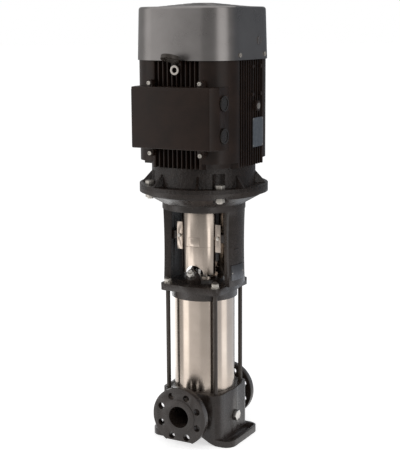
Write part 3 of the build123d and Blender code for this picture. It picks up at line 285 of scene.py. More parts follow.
# Turned grey iron of the coupling: dull grey with a little grain
TURNED_IRON = Finish(
    "turned_grey_iron", "coupling_iron", Surface.BRUSHED, "6f6a66", "5f5a56",
    metallic=1.0, roughness=0.42, spread=0.06, patch_mm=20, grain_mm=1.2, depth_mm=0.03,
)
# Blackened steel of rods, eyes and socket screws: dark with a faint oily shine
BLACK_STEEL = Finish(
    "blackened_steel", "black_oxide", Surface.PLATED, "3a3430", "46403b",
    metallic=0.3, roughness=0.36, spread=0.07, patch_mm=20, grain_mm=1.5, depth_mm=0.04, specular=0.4,
)
# Stacked electrical sheet: dull grey with fine rings
CORE_SHEET = Finish(
    "stacked_core_sheet", "core_steel", Surface.BRUSHED, "77726c", "655f59",
    metallic=1.0, roughness=0.5, spread=0.05, patch_mm=20, grain_mm=0.9, depth_mm=0.08,
)
# Enamelled winding wire: red-brown and ribbed turn by turn
WINDING_WIRE = Finish(
    "enamelled_copper_wire", "copper", Surface.BRUSHED, "b06a3a", "8f4f28",
    metallic=0.8, roughness=0.4, spread=0.06, patch_mm=12, grain_mm=1.4, depth_mm=0.25,
)
# Glass-filled nylon of the fan: dull and nearly black
FAN_NYLON = Finish(
    "fan_nylon", "fan_plastic", Surface.MOULDED, "2a2a2b", "333334",
    roughness=0.55, spread=0.05, patch_mm=15, grain_mm=1.0, depth_mm=0.03,
)
# Moulded thermoset of the terminal board: dull brick red
BOARD_RESIN = Finish(
    "terminal_resin", "board_plastic", Surface.MOULDED, "7a3b2c", "6a3226",
    roughness=0.5, spread=0.05, patch_mm=15, grain_mm=1.0, depth_mm=0.03,
)
# Moulded black nylon of the blind plugs: shinier than the enamel round it. The same dark finish is laid on
# the stool's wall as the painted shade of its slot
PLUG_NYLON_AND_SLOT_SHADE = Finish(
    "plug_nylon_and_slot_shade", "plug_plastic", Surface.MOULDED, "1c1816", "241f1c",
    roughness=0.25, spread=0.05, patch_mm=12, grain_mm=1.0, depth_mm=0.02,
)
# Thin anodised aluminium of the bare motor plate: cool grey and silky
PLATE_ALUMINIUM = Finish(
    "plate_aluminium", "zinc", Surface.BRUSHED, "a4a7ab", "8b8f94",
    metallic=1.0, roughness=0.4, spread=0.06, patch_mm=10, grain_mm=0.9, depth_mm=0.02,
)
# The same sheet etched dark, as the bare pump plate
ETCHED_PLATE = Finish(
    "etched_plate", "zinc", Surface.BRUSHED, "6a6a6c", "58585a",
    metallic=0.9, roughness=0.4, spread=0.06, patch_mm=8, grain_mm=0.9, depth_mm=0.02,
)


def deselect() -> None:
    """Leave nothing selected, so that an operator acts only on what comes next."""
    if bpy.context.object and bpy.context.object.mode != "OBJECT":
        bpy.ops.object.mode_set(mode="OBJECT")
    bpy.ops.object.select_all(action="DESELECT")


def take(piece: Piece) -> None:
    """Make a piece the only selected and the active one.

    Args:
        piece: The piece that the next operator works on.
    """
    deselect()
    piece.select_set(True)
    bpy.context.view_layer.objects.active = piece


def edit(piece: Piece, steps: Callable[[], None]) -> None:
    """Run operators in edit mode on all of a piece.

    Args:
        piece: The piece to work on.
        steps: What to do while edit mode is on.
    """
    take(piece)
    bpy.ops.object.mode_set(mode="EDIT")
    bpy.ops.mesh.select_all(action="SELECT")
    steps()
    bpy.ops.object.mode_set(mode="OBJECT")


def choose_faces(piece: Piece, wanted: FaceTest) -> None:
    """Select faces in edit mode by their place and their normal.

    Args:
        piece: A piece whose edit mode is on.
        wanted: Says for a face's centre and normal whether to select it.
    """
    bpy.ops.mesh.select_mode(type="FACE")
    shape = bmesh.from_edit_mesh(piece.data)
    for face in shape.faces:
        face.select_set(wanted(face.calc_center_median(), face.normal))
    shape.select_flush_mode()
    bmesh.update_edit_mesh(piece.data)


def settle(piece: Piece, name: str) -> Piece:
    """Name a new primitive and put its place into its mesh.

    Args:
        piece: The object that a primitive operator has just added.
        name: Name of the piece.

    Returns:
        The same object, at the origin.
    """
    piece.name = name
    piece.data.name = name
    take(piece)
    bpy.ops.object.transform_apply(location=True, rotation=True, scale=True)
    return piece


def bevel(piece: Piece, width: float, segments: int = 2, angle: float = 35.0) -> None:
    """Round the sharp edges of a piece.

    Args:
        piece: The piece to round.
        width: Width of the rounding, in metres.
        segments: Steps of the rounding.
        angle: Edges that turn by more degrees than this are rounded.
    """
    take(piece)
    rounding = piece.modifiers.new("rounding", "BEVEL")
    rounding.width = width
    rounding.segments = segments
    rounding.limit_method = "ANGLE"
    rounding.angle_limit = math.radians(angle)
    rounding.use_clamp_overlap = True
    bpy.ops.object.modifier_apply(modifier=rounding.name)


def smooth(piece: Piece, angle: float = 38.0) -> None:
    """Shade a piece smooth, but keep the edges that turn by more than the angle in degrees."""
    take(piece)
    bpy.ops.object.shade_smooth_by_angle(angle=math.radians(angle))


def finish_piece(piece: Piece, look: Finish, body: str = FIXED) -> Piece:
    """Give a new piece its material and the body it rides on.

    Args:
        piece: A finished piece.
        look: Its finish.
        body: The body it moves with.

    Returns:
        The same piece.
    """
    piece.data.materials.clear()
    piece.data.materials.append(look.material())
    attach(piece, body)
    LOG.info("piece %s, %d faces", piece.name, len(piece.data.polygons))
    return piece


def dress(node: str, look: Finish) -> None:
    """Give a solid of the frame its material and leave its mesh as it is.

    Args:
        node: The solid's name.
        look: Its finish.
    """
    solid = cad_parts[node]
    solid.data.materials.clear()
    solid.data.materials.append(look.material())
    LOG.info("solid %s", node)


def soften(node: str, look: Finish, width: float, body: str = FIXED) -> Piece:
    """Stand in for a solid by a copy with merged faces, rounded edges and smooth shading.

    Args:
        node: The solid's name.
        look: Its finish.
        width: Width of the edge rounding, in metres; zero leaves the edges sharp.
        body: The body it moves with.

    Returns:
        The copy, which replaces the solid.
    """
    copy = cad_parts[node].copy()
    copy.data = copy.data.copy()
    copy.name = f"{node}_skin"
    copy.parent = None
    for key in [k for k in copy.keys() if k.startswith("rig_")]:
        del copy[key]
    bpy.context.scene.collection.objects.link(copy)

    def merge() -> None:
        """Make the loose triangles one closed mesh with flat faces."""
        bpy.ops.mesh.remove_doubles(threshold=WELD)
        bpy.ops.mesh.dissolve_limited(angle_limit=FLAT_TURN)

    edit(copy, merge)
    take(copy)
    bpy.ops.mesh.customdata_custom_splitnormals_clear()
    if width:
        bevel(copy, width)
    smooth(copy)
    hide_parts(node)
    return finish_piece(copy, look, body)


def shift(piece: Piece, wanted: FaceTest, way: Triple) -> None:
    """Move some faces of a piece, and what hangs on them.

    Args:
        piece: The piece to change.
        wanted: Says for a face's centre and normal whether to move it.
        way: How far to move, in metres.
    """

    def move() -> None:
        """Move the wanted faces."""
        choose_faces(piece, wanted)
        bpy.ops.transform.translate(value=way)

    edit(piece, move)


def reshape(piece: Piece, place: Callable[[Vector], Vector]) -> None:
    """Move every corner of a piece by a rule, then smooth the piece again.

    Args:
        piece: The piece to change.
        place: Gives for a corner's place its new place.
    """
    for corner in piece.data.vertices:
        corner.co = place(corner.co)
    piece.data.update()
    smooth(piece)


def sink(piece: Piece, way: Triple, level: float, rim: float, depth: float) -> None:
    """Press a recess into every face that looks one way at one level.

    Args:
        piece: The piece to change.
        way: Where the faces look.
        level: How far along that way they lie, in metres.
        rim: Width of the rim left standing.
        depth: Depth of the recess.
    """
    look = Vector(way)
    slack, slope = 0.6 * MM, 0.15 * MM

    def is_at_level(centre: Vector, normal: Vector) -> bool:
        """Tell whether a face is one to press."""
        return normal.dot(look) > SQUARE_ON and abs(centre.dot(look) - level) < slack

    def press() -> None:
        """Leave a rim and push the middle in, with nearly upright walls."""
        choose_faces(piece, is_at_level)
        bpy.ops.mesh.inset(thickness=rim)
        bpy.ops.mesh.inset(thickness=slope, depth=-depth)

    edit(piece, press)
    smooth(piece)


def turned_disc(name: str, centre: Triple, way: Triple, radius: float, depth: float, sides: int) -> Piece:
    """Turn a plain disc, the start of a ring or a button.

    Args:
        name: Name of the piece.
        centre: Middle of the disc.
        way: Where its face looks.
        radius: Its radius.
        depth: Its thickness.
        sides: Number of its sides.

    Returns:
        The disc.
    """
    deselect()
    turn = Vector(way).to_track_quat("Z", "Y").to_euler()
    size = {"vertices": sides, "radius": radius, "depth": depth}
    bpy.ops.mesh.primitive_cylinder_add(location=centre, rotation=turn, **size)
    return settle(bpy.context.object, name)


def block(name: str, low: Sequence[float], high: Sequence[float]) -> Piece:
    """Saw a plain block, the start of a plate or a lug.

    Args:
        name: Name of the piece.
        low: Its lowest corner.
        high: Its highest corner.

    Returns:
        The block.
    """
    deselect()
    middle = (Vector(low) + Vector(high)) / 2
    bpy.ops.mesh.primitive_cube_add(size=1, location=middle, scale=Vector(high) - Vector(low))
    return settle(bpy.context.object, name)


@dataclass(frozen=True)
class Ring:
    """A flat turned ring with an open middle.

    Attributes:
        inside: Its inner radius.
        outside: Its outer radius.
        thickness: Its thickness.
        edge: Rounding of its edges.
        look: Its finish.
    """

    inside: float
    outside: float
    thickness: float
    edge: float
    look: Finish

    def turn(self, name: str, centre: Triple, way: Triple) -> None:
        """Turn one ring.

        Args:
            name: Name of the piece.
            centre: Middle of the ring.
            way: Where its face looks.
        """
        piece = turned_disc(name, centre, way, self.outside, self.thickness, RING_SIDES)
        axis = Vector(way)

        def open_middle() -> None:
            """Join the insets of both faces by an inner wall."""
            choose_faces(piece, lambda place, normal: abs(normal.dot(axis)) > ROUGHLY_ON)
            bpy.ops.mesh.inset(thickness=self.outside - self.inside)
            bpy.ops.mesh.bridge_edge_loops()

        edit(piece, open_middle)
        bevel(piece, self.edge)
        smooth(piece)
        finish_piece(piece, self.look)


@dataclass(frozen=True)
class Button:
    """A round plug, cap or rivet head with a recess in its face.

    Attributes:
        radius: Its radius.
        thickness: Its thickness.
        rim: Width of the rim round the recess.
        depth: Depth of the recess.
        look: Its finish.
        edge: Rounding of its edges.
    """

    radius: float
    thickness: float
    rim: float
    depth: float
    look: Finish
    edge: float = 0.5 * MM

    def turn(self, name: str, centre: Triple, way: Triple) -> None:
        """Turn one button.

        Args:
            name: Name of the piece.
            centre: Middle of the button.
            way: Where its face looks.
        """
        piece = turned_disc(name, centre, way, self.radius, self.thickness, BUTTON_SIDES)
        bevel(piece, self.edge)
        sink(piece, way, Vector(centre).dot(Vector(way)) + self.thickness / 2, self.rim, self.depth)
        finish_piece(piece, self.look)


@dataclass(frozen=True)
class Strip:
    """A strip of sheet bent round the shaft's axis.

    Attributes:
        bearings: Where it starts and ends, in degrees from +X.
        heights: Its lower and upper edge.
        radius: Distance of the middle of the sheet from the axis.
        sheet: Thickness of the sheet.
        look: Its finish.
        edge: Rounding of its edges as a share of the sheet.
        sharp: Edges that turn by more degrees than this are rounded.
    """

    bearings: Span
    heights: Span
    radius: float
    sheet: float
    look: Finish
    edge: float = 0.25
    sharp: float = 60

    def bend(self, name: str) -> None:
        """Bend one strip.

        Args:
            name: Name of the piece.
        """
        deselect()
        start, end = (math.radians(bearing) for bearing in self.bearings)
        low, high = self.heights
        bpy.ops.mesh.primitive_plane_add(size=1, rotation=(math.pi / 2, 0, 0))
        strip = settle(bpy.context.object, name)

        def spin() -> None:
            """Size the strip's end, carry it to the start, and spin it round to the other end."""
            bpy.ops.transform.resize(value=(self.sheet, 1, high - low), center_override=(0, 0, 0))
            bpy.ops.transform.translate(value=(self.radius, 0, (low + high) / 2))
            bpy.ops.transform.rotate(value=-start, orient_axis="Z", center_override=(0, 0, 0))
            bpy.ops.mesh.spin(steps=BEND_STEPS, angle=start - end, center=(0, 0, 0), axis=(0, 0, 1))
            bpy.ops.mesh.select_all(action="SELECT")
            bpy.ops.mesh.normals_make_consistent(inside=False)

        edit(strip, spin)
        bevel(strip, self.edge * self.sheet, angle=self.sharp)
        smooth(strip)
        finish_piece(strip, self.look)


@dataclass(frozen=True)
class PressedPlate:
    """A bare plate across X with rounded corners and a border that stands a little proud.

    Attributes:
        low: Its lowest corner.
        high: Its highest corner.
        corner: Radius of its corners.
        steps: Steps of that rounding.
        border: Width of the border.
        slope: Width of the step inside it.
        drop: Height of that step.
        look: Its finish.
    """

    low: Triple = (0.1426, 0.011, 0.817)
    high: Triple = (0.1438, 0.073, 0.895)
    corner: float = 3 * MM
    steps: int = 5
    border: float = 2.5 * MM
    slope: float = 0.2 * MM
    drop: float = 0.25 * MM
    look: Finish = PLATE_ALUMINIUM

    def press(self, name: str) -> None:
        """Press the plate.

        Args:
            name: Name of the piece.
        """
        piece = block(name, self.low, self.high)

        def shape() -> None:
            """Round the corners and press the field inside the border."""
            bpy.ops.mesh.select_mode(type="EDGE")
            mesh = bmesh.from_edit_mesh(piece.data)
            for edge in mesh.edges:
                run = (edge.verts[1].co - edge.verts[0].co).normalized()
                edge.select_set(abs(run.x) > ROUGHLY_ON)
            bmesh.update_edit_mesh(piece.data)
            bpy.ops.mesh.bevel(offset=self.corner, segments=self.steps)
            choose_faces(piece, lambda place, normal: abs(normal.x) > ROUGHLY_ON)
            bpy.ops.mesh.inset(thickness=self.border)
            bpy.ops.mesh.inset(thickness=self.slope, depth=-self.drop)

        edit(piece, shape)
        smooth(piece)
        finish_piece(piece, self.look)


@dataclass(frozen=True)
class LightTent:
    """Screen round the object that only reflections see, so that metal shows soft strips.

    Attributes:
        radius: Distance of the screen from the shaft.
        top: Height of its upper edge.
        lower_change: Heights between which the lower strips give way to the middle ones.
        upper_change: Heights between which the middle strips give way to the upper ones.
        lower: Strips beside the sleeve: bearing from the camera in degrees, level and coolness.
        middle: The same beside the coupling guards.
        upper: The same beside the motor.
        gain: Level of a stop whose colour is full white.
        cool_tint: How much red a fully cool stop loses, and how much blue it gains.
    """

    radius: float = 0.62
    top: float = 1.7
    lower_change: Span = (0.3, 0.36)
    upper_change: Span = (0.56, 0.66)
    lower: tuple[Triple, ...] = (
        (-180, 0.8, 0), (-165, 1.7, 0), (-128, 1.5, 0), (-121, 0.2, 0), (-108, 0.25, 0), (-104, 0.6, 0),
        (-85, 0.65, 0), (-81, 2.1, 0), (-61, 2.1, 0), (-57, 1.0, 0), (-20, 0.85, 0), (-12, 0.65, 0),
        (24, 0.6, 0), (50, 0.7, 0.3), (62, 0.8, 0.5), (66, 1.8, 0.3), (85, 1.8, 0.3), (90, 0.9, 0.8),
        (150, 0.8, 0.8), (180, 0.8, 0),
    )
    middle: tuple[Triple, ...] = (
        (-180, 0.3, 0), (-105, 0.35, 0), (-92, 0.5, 0), (-86, 1.9, 0), (-75, 1.9, 0), (-69, 0.6, 0),
        (-40, 0.5, 0), (0, 0.5, 0), (16, 0.55, 0), (20, 2.2, 0), (29, 2.2, 0), (33, 0.6, 0),
        (50, 0.45, 0), (70, 0.35, 0), (110, 0.25, 1), (180, 0.3, 0),
    )
    upper: tuple[Triple, ...] = (
        (-180, 0.3, 0), (-95, 0.5, 0), (-80, 1.2, 0), (-62, 1.1, 0), (-50, 0.6, 0), (-30, 0.35, 0),
        (8, 0.35, 0), (18, 1.3, 0), (40, 1.3, 0), (52, 0.35, 0), (80, 0.22, 1), (140, 0.2, 1),
        (180, 0.3, 0),
    )
    gain: float = 2.5
    cool_tint: Span = (0.07, 0.1)

    def strips(self, tree: Tree, share: Socket, stops: tuple[Triple, ...]) -> Socket:
        """Lay one row of strips out round the screen.

        Args:
            tree: Node tree of the screen's material.
            share: Bearing as a share of the full turn, with the back at both ends.
            stops: Bearing, level and coolness of each stop.

        Returns:
            The colour at each bearing.
        """
        ramp = add_node(tree, "ValToRGB", None, {0: share})
        marks = ramp.color_ramp.elements
        while len(marks) < len(stops):
            marks.new(1.0)
        less_red, more_blue = self.cool_tint
        for mark, (bearing, level, cool) in zip(marks, stops):
            tints = (1 - less_red * cool, 1.0, 1 + more_blue * cool)
            mark.position = (bearing + 180) / 360
            mark.color = tuple(level / self.gain * tint for tint in tints) + (1.0,)
        return ramp.outputs[0]

    def material(self) -> bpy.types.Material:
        """Make the glow of the screen by bearing and height.

        Returns:
            A material that glows but is no lamp.
        """
        made = bare_material("light_tent")
        made.cycles.emission_sampling = "NONE"
        tree = made.node_tree
        place = add_node(tree, "TexCoord").outputs["Object"]
        axes = add_node(tree, "SeparateXYZ", None, {0: place}).outputs
        front = add_node(tree, "Math", {"operation": "MULTIPLY", 1: -1.0}, {0: axes[1]}).outputs[0]
        bearing = add_node(tree, "Math", {"operation": "ARCTAN2"}, {0: axes[0], 1: front}).outputs[0]
        turn = {"From Min": -math.pi, "From Max": math.pi}
        share = add_node(tree, "MapRange", turn, {"Value": bearing}).outputs[0]
        glow = self.strips(tree, share, self.lower)
        for (start, end), row in ((self.lower_change, self.middle), (self.upper_change, self.upper)):
            change = {"From Min": start, "From Max": end}
            height = add_node(tree, "MapRange", change, {"Value": axes[2]}).outputs[0]
            links = {0: height, 6: glow, 7: self.strips(tree, share, row)}
            glow = add_node(tree, "Mix", {"data_type": "RGBA"}, links).outputs[2]
        light = add_node(tree, "Emission", {"Strength": self.gain}, {"Color": glow}).outputs[0]
        add_node(tree, "OutputMaterial", None, {"Surface": light})
        return made

    def hang(self, azimuth: float) -> None:
        """Stand the screen round the object, its front towards the camera.

        Args:
            azimuth: Degrees the camera has moved round from the -Y side towards +X.
        """
        deselect()
        size = {"vertices": SCREEN_SIDES, "radius": self.radius, "depth": self.top}
        middle = (0, 0, self.top / 2)
        bpy.ops.mesh.primitive_cylinder_add(end_fill_type="NOTHING", location=middle, **size)
        screen = settle(bpy.context.object, "light_tent")
        screen.rotation_euler.z = math.radians(azimuth)
        screen.data.materials.append(self.material())
        for ray in ("camera", "diffuse", "shadow", "transmission", "volume_scatter"):
            setattr(screen, f"visible_{ray}", False)


@dataclass(frozen=True)
class Studio:
    """Floor, lamps, white surroundings and the camera.

    Attributes:
        camera_place: Where the camera stands.
        azimuth: Degrees the camera has moved round from the -Y side towards +X.
        yaw: Degrees it looks past the shaft.
        tilt: Degrees it looks down.
        roll: Degrees it leans.
        lens: Focal length in millimetres.
        sensor: Width of the sensor in millimetres.
        sight: How far the camera sees.
        ambient: Strength of the surroundings as the object's dull surfaces see them.
        floor_glow: What the camera sees of the floor on top of the light that falls on it.
        floor_colour: Colour of the floor as an sRGB code.
        floor_radius: Size of the floor.
        lamp_aim: Height on the shaft that the lamps look at.
        lamps: Bearing from the camera, distance, centre height, width, height and strength of each.
    """

    camera_place: Triple = (1.4369, -2.6059, 1.1403)
    azimuth: float = 29.06
    yaw: float = 0.026
    tilt: float = 10.346
    roll: float = -0.364
    lens: float = 87.94
    sensor: float = 36
    sight: float = 200
    ambient: float = 0.5
    floor_glow: float = 0.6
    floor_colour: str = "f4f4f4"
    floor_radius: float = 60
    lamp_aim: float = 0.6
    lamps: tuple[tuple[float, ...], ...] = (
        (-66.0, 2.7, 0.95, 0.7, 2.4, 4.2),
        (69.0, 2.7, 0.95, 0.7, 2.4, 3.0),
        (-8.0, 3.4, 3.0, 1.6, 1.2, 1.8),
    )

    def backdrop(self, tree: Tree) -> Socket:
        """Tell where the eye looks, straight or by way of metal or glass.

        Args:
            tree: Node tree that gets the nodes.

        Returns:
            One where the camera, a reflection or a refraction looks, else zero.
        """
        rays = add_node(tree, "LightPath").outputs
        seen = rays["Is Camera Ray"]
        for kind in ("Is Glossy Ray", "Is Transmission Ray"):
            larger = add_node(tree, "Math", {"operation": "MAXIMUM"}, {0: seen, 1: rays[kind]})
            seen = larger.outputs[0]
        return seen

    def light_world(self) -> None:
        """Give the eye white surroundings, and the object a plain even level."""
        world = bpy.data.worlds.new("studio")
        world.use_nodes = True
        bpy.context.scene.world = world
        tree = world.node_tree
        tree.nodes.clear()
        levels = {"To Min": self.ambient, "To Max": 1.0}
        strength = add_node(tree, "MapRange", levels, {"Value": self.backdrop(tree)}).outputs[0]
        light = add_node(tree, "Background", {"Color": linear(WHITE)}, {"Strength": strength}).outputs[0]
        add_node(tree, "OutputWorld", None, {"Surface": light})

    def hang_lamps(self) -> None:
        """Hang soft boxes on both sides and one above the camera; reflections see the tent instead."""
        middle = Vector((0, 0, self.lamp_aim))
        for number, (bearing, distance, height, width, tall, strength) in enumerate(self.lamps, 1):
            turn = math.radians(self.azimuth + bearing)
            place = Vector((distance * math.sin(turn), -distance * math.cos(turn), height))
            lamp = bpy.data.lights.new(f"soft_box_{number}", "AREA")
            lamp.shape = "RECTANGLE"
            lamp.size = width
            lamp.size_y = tall
            lamp.energy = strength * math.pi * width * tall
            stand = bpy.data.objects.new(lamp.name, lamp)
            stand.location = place
            stand.rotation_euler = (middle - place).to_track_quat("-Z", "Y").to_euler()
            stand.visible_glossy = False
            bpy.context.scene.collection.objects.link(stand)

    def lay_floor(self) -> None:
        """Lay a pale floor that keeps the object's shadow and meets the white surroundings."""
        deselect()
        bpy.ops.mesh.primitive_circle_add(vertices=SCREEN_SIDES, radius=self.floor_radius, fill_type="NGON")
        floor = settle(bpy.context.object, "floor")
        made = bare_material("floor")
        tree = made.node_tree
        paper = add_node(tree, "BsdfDiffuse", {"Color": linear(self.floor_colour)}).outputs[0]
        share = {"operation": "MULTIPLY", 1: self.floor_glow}
        level = add_node(tree, "Math", share, {0: self.backdrop(tree)}).outputs[0]
        glow = add_node(tree, "Emission", {"Color": linear(WHITE)}, {"Strength": level}).outputs[0]
        both = add_node(tree, "AddShader", None, {0: paper, 1: glow}).outputs[0]
        add_node(tree, "OutputMaterial", None, {"Surface": both})
        floor.data.materials.append(made)

    def set_camera(self) -> None:
        """Set up the photograph's camera."""
        lens = bpy.data.cameras.new("camera")
        lens.lens = self.lens
        lens.sensor_width = self.sensor
        lens.clip_end = self.sight
        camera = bpy.data.objects.new("camera", lens)
        aim = (
            Matrix.Rotation(math.radians(self.azimuth + self.yaw), 4, "Z")
            @ Matrix.Rotation(math.radians(90 - self.tilt), 4, "X")
            @ Matrix.Rotation(math.radians(self.roll), 4, "Z")
        )
        camera.matrix_world = Matrix.Translation(self.camera_place) @ aim
        bpy.context.scene.collection.objects.link(camera)
        bpy.context.scene.camera = camera

    def build(self) -> None:
        """Make the whole studio."""
        bpy.context.scene.view_settings.view_transform = "Standard"
        self.light_world()
        self.hang_lamps()
        self.lay_floor()
        LightTent().hang(self.azimuth)
        self.set_camera()


@dataclass
class PumpEnd:
    """Base, sleeve, rods, head and stool.

    Attributes:
        cast_edge: Rounding of the cast edges.
        fastener_edge: Rounding of nuts and plugs.
        wall_heights: Heights between which the stool's walls stand.
        wall_inside: Inner radius of the walls in the solid.
        wall_slack: How far from that radius a corner still belongs to the inside.
        rim_inside: Inner radius of the real walls, whose rim is thicker.
        plate: Bare plate round the stool's wall.
        rivet: Rivet at each end of the plate.
        rivet_turn: Degrees from the plate's end to the rivet.
        slot: Thin dark strip laid on the stool's wall as painted shade for the slot there, which is not
            cut.
    """

    cast_edge: float = 1.6 * MM
    fastener_edge: float = 0.8 * MM
    wall_heights: Span = (0.45, 0.66)
    wall_inside: float = 93.5 * MM
    wall_slack: float = 1.5 * MM
    rim_inside: float = 88 * MM
    plate: Strip = Strip((-20.5, 8.8), (0.458, 0.5), 112.2 * MM, 1.0 * MM, ETCHED_PLATE)
    rivet: Button = Button(2 * MM, 1.6 * MM, 0.8 * MM, 0.3 * MM, ZINC)
    rivet_turn: float = 1.6
    # The slot is not cut: a thin dark strip on the wall is painted shade where its hollow is
    slot: Strip = Strip((-13, -4.7), (0.5412, 0.5448), 111.3 * MM, 0.8 * MM, PLUG_NYLON_AND_SLOT_SHADE)

    def build(self) -> None:
        """Dress the castings and the pieces they hold."""
        soften("pump_base", DIPPED_IRON, self.cast_edge)
        head = soften("pump_head", DIPPED_IRON, self.cast_edge)
        reshape(head, self.thicken_wall)
        soften("outer_sleeve", BRUSHED_STAINLESS, 0)
        soften("stay_rods", BLACK_STEEL, 0)
        soften("stay_rod_washers", ZINC, 0)
        soften("stay_rod_nuts", ZINC, self.fastener_edge)
        soften("drain_plug", BRIGHT_PLATING, self.fastener_edge)
        soften("vent_plug", BRIGHT_PLATING, self.fastener_edge)
        soften("vent_screw", BRIGHT_PLATING, 0, VENT)
        soften("seal_housing", BRUSHED_STAINLESS, 0)
        self.rivet_plate()
        # Painted shade: a dark strip on the wall stands for the hollow of the slot
        self.slot.bend("stool_slot_painted_shade")

    def thicken_wall(self, corner: Vector) -> Vector:
        """Move a corner on the inside of the stool's walls inwards, as the real walls have a thick rim.

        Args:
            corner: A corner of the head's mesh.

        Returns:
            Its new place, which is the old one for a corner anywhere else.
        """
        reach = math.hypot(corner.x, corner.y)
        low, high = self.wall_heights
        if not (low < corner.z < high and abs(reach - self.wall_inside) < self.wall_slack):
            return corner
        return Vector((corner.x * self.rim_inside / reach, corner.y * self.rim_inside / reach, corner.z))

    def rivet_plate(self) -> None:
        """Bend the bare plate round the stool's wall on the drain's side, and rivet it on."""
        self.plate.bend("pump_plate")
        reach = self.plate.radius + self.plate.sheet
        first, last = self.plate.bearings
        for number, bearing in enumerate((first + self.rivet_turn, last - self.rivet_turn), 1):
            turn = math.radians(bearing)
            way = (math.cos(turn), math.sin(turn), 0)
            place = (reach * way[0], reach * way[1], sum(self.plate.heights) / 2)
            self.rivet.turn(f"pump_plate_rivet_{number}", place, way)


@dataclass
class Stages:
    """Impellers, chambers and shaft inside the sleeve, which nothing shows.

    Attributes:
        guides: What leads the water into the first stage and out of the last.
        stages: Number of stages, each with a chamber and an impeller.
    """

    guides: tuple[str, ...] = ("inlet_guide", "outlet_chamber")
    stages: int = 4

    def build(self) -> None:
        """Give the pressed stainless pieces and the shaft their metal."""
        for node in self.guides:
            dress(node, BRUSHED_STAINLESS)
        for number in range(1, self.stages + 1):
            dress(f"stage_chamber_{number}", BRUSHED_STAINLESS)
            dress(f"impeller_{number}", BRUSHED_STAINLESS)
        dress("pump_shaft", GROUND_STEEL)


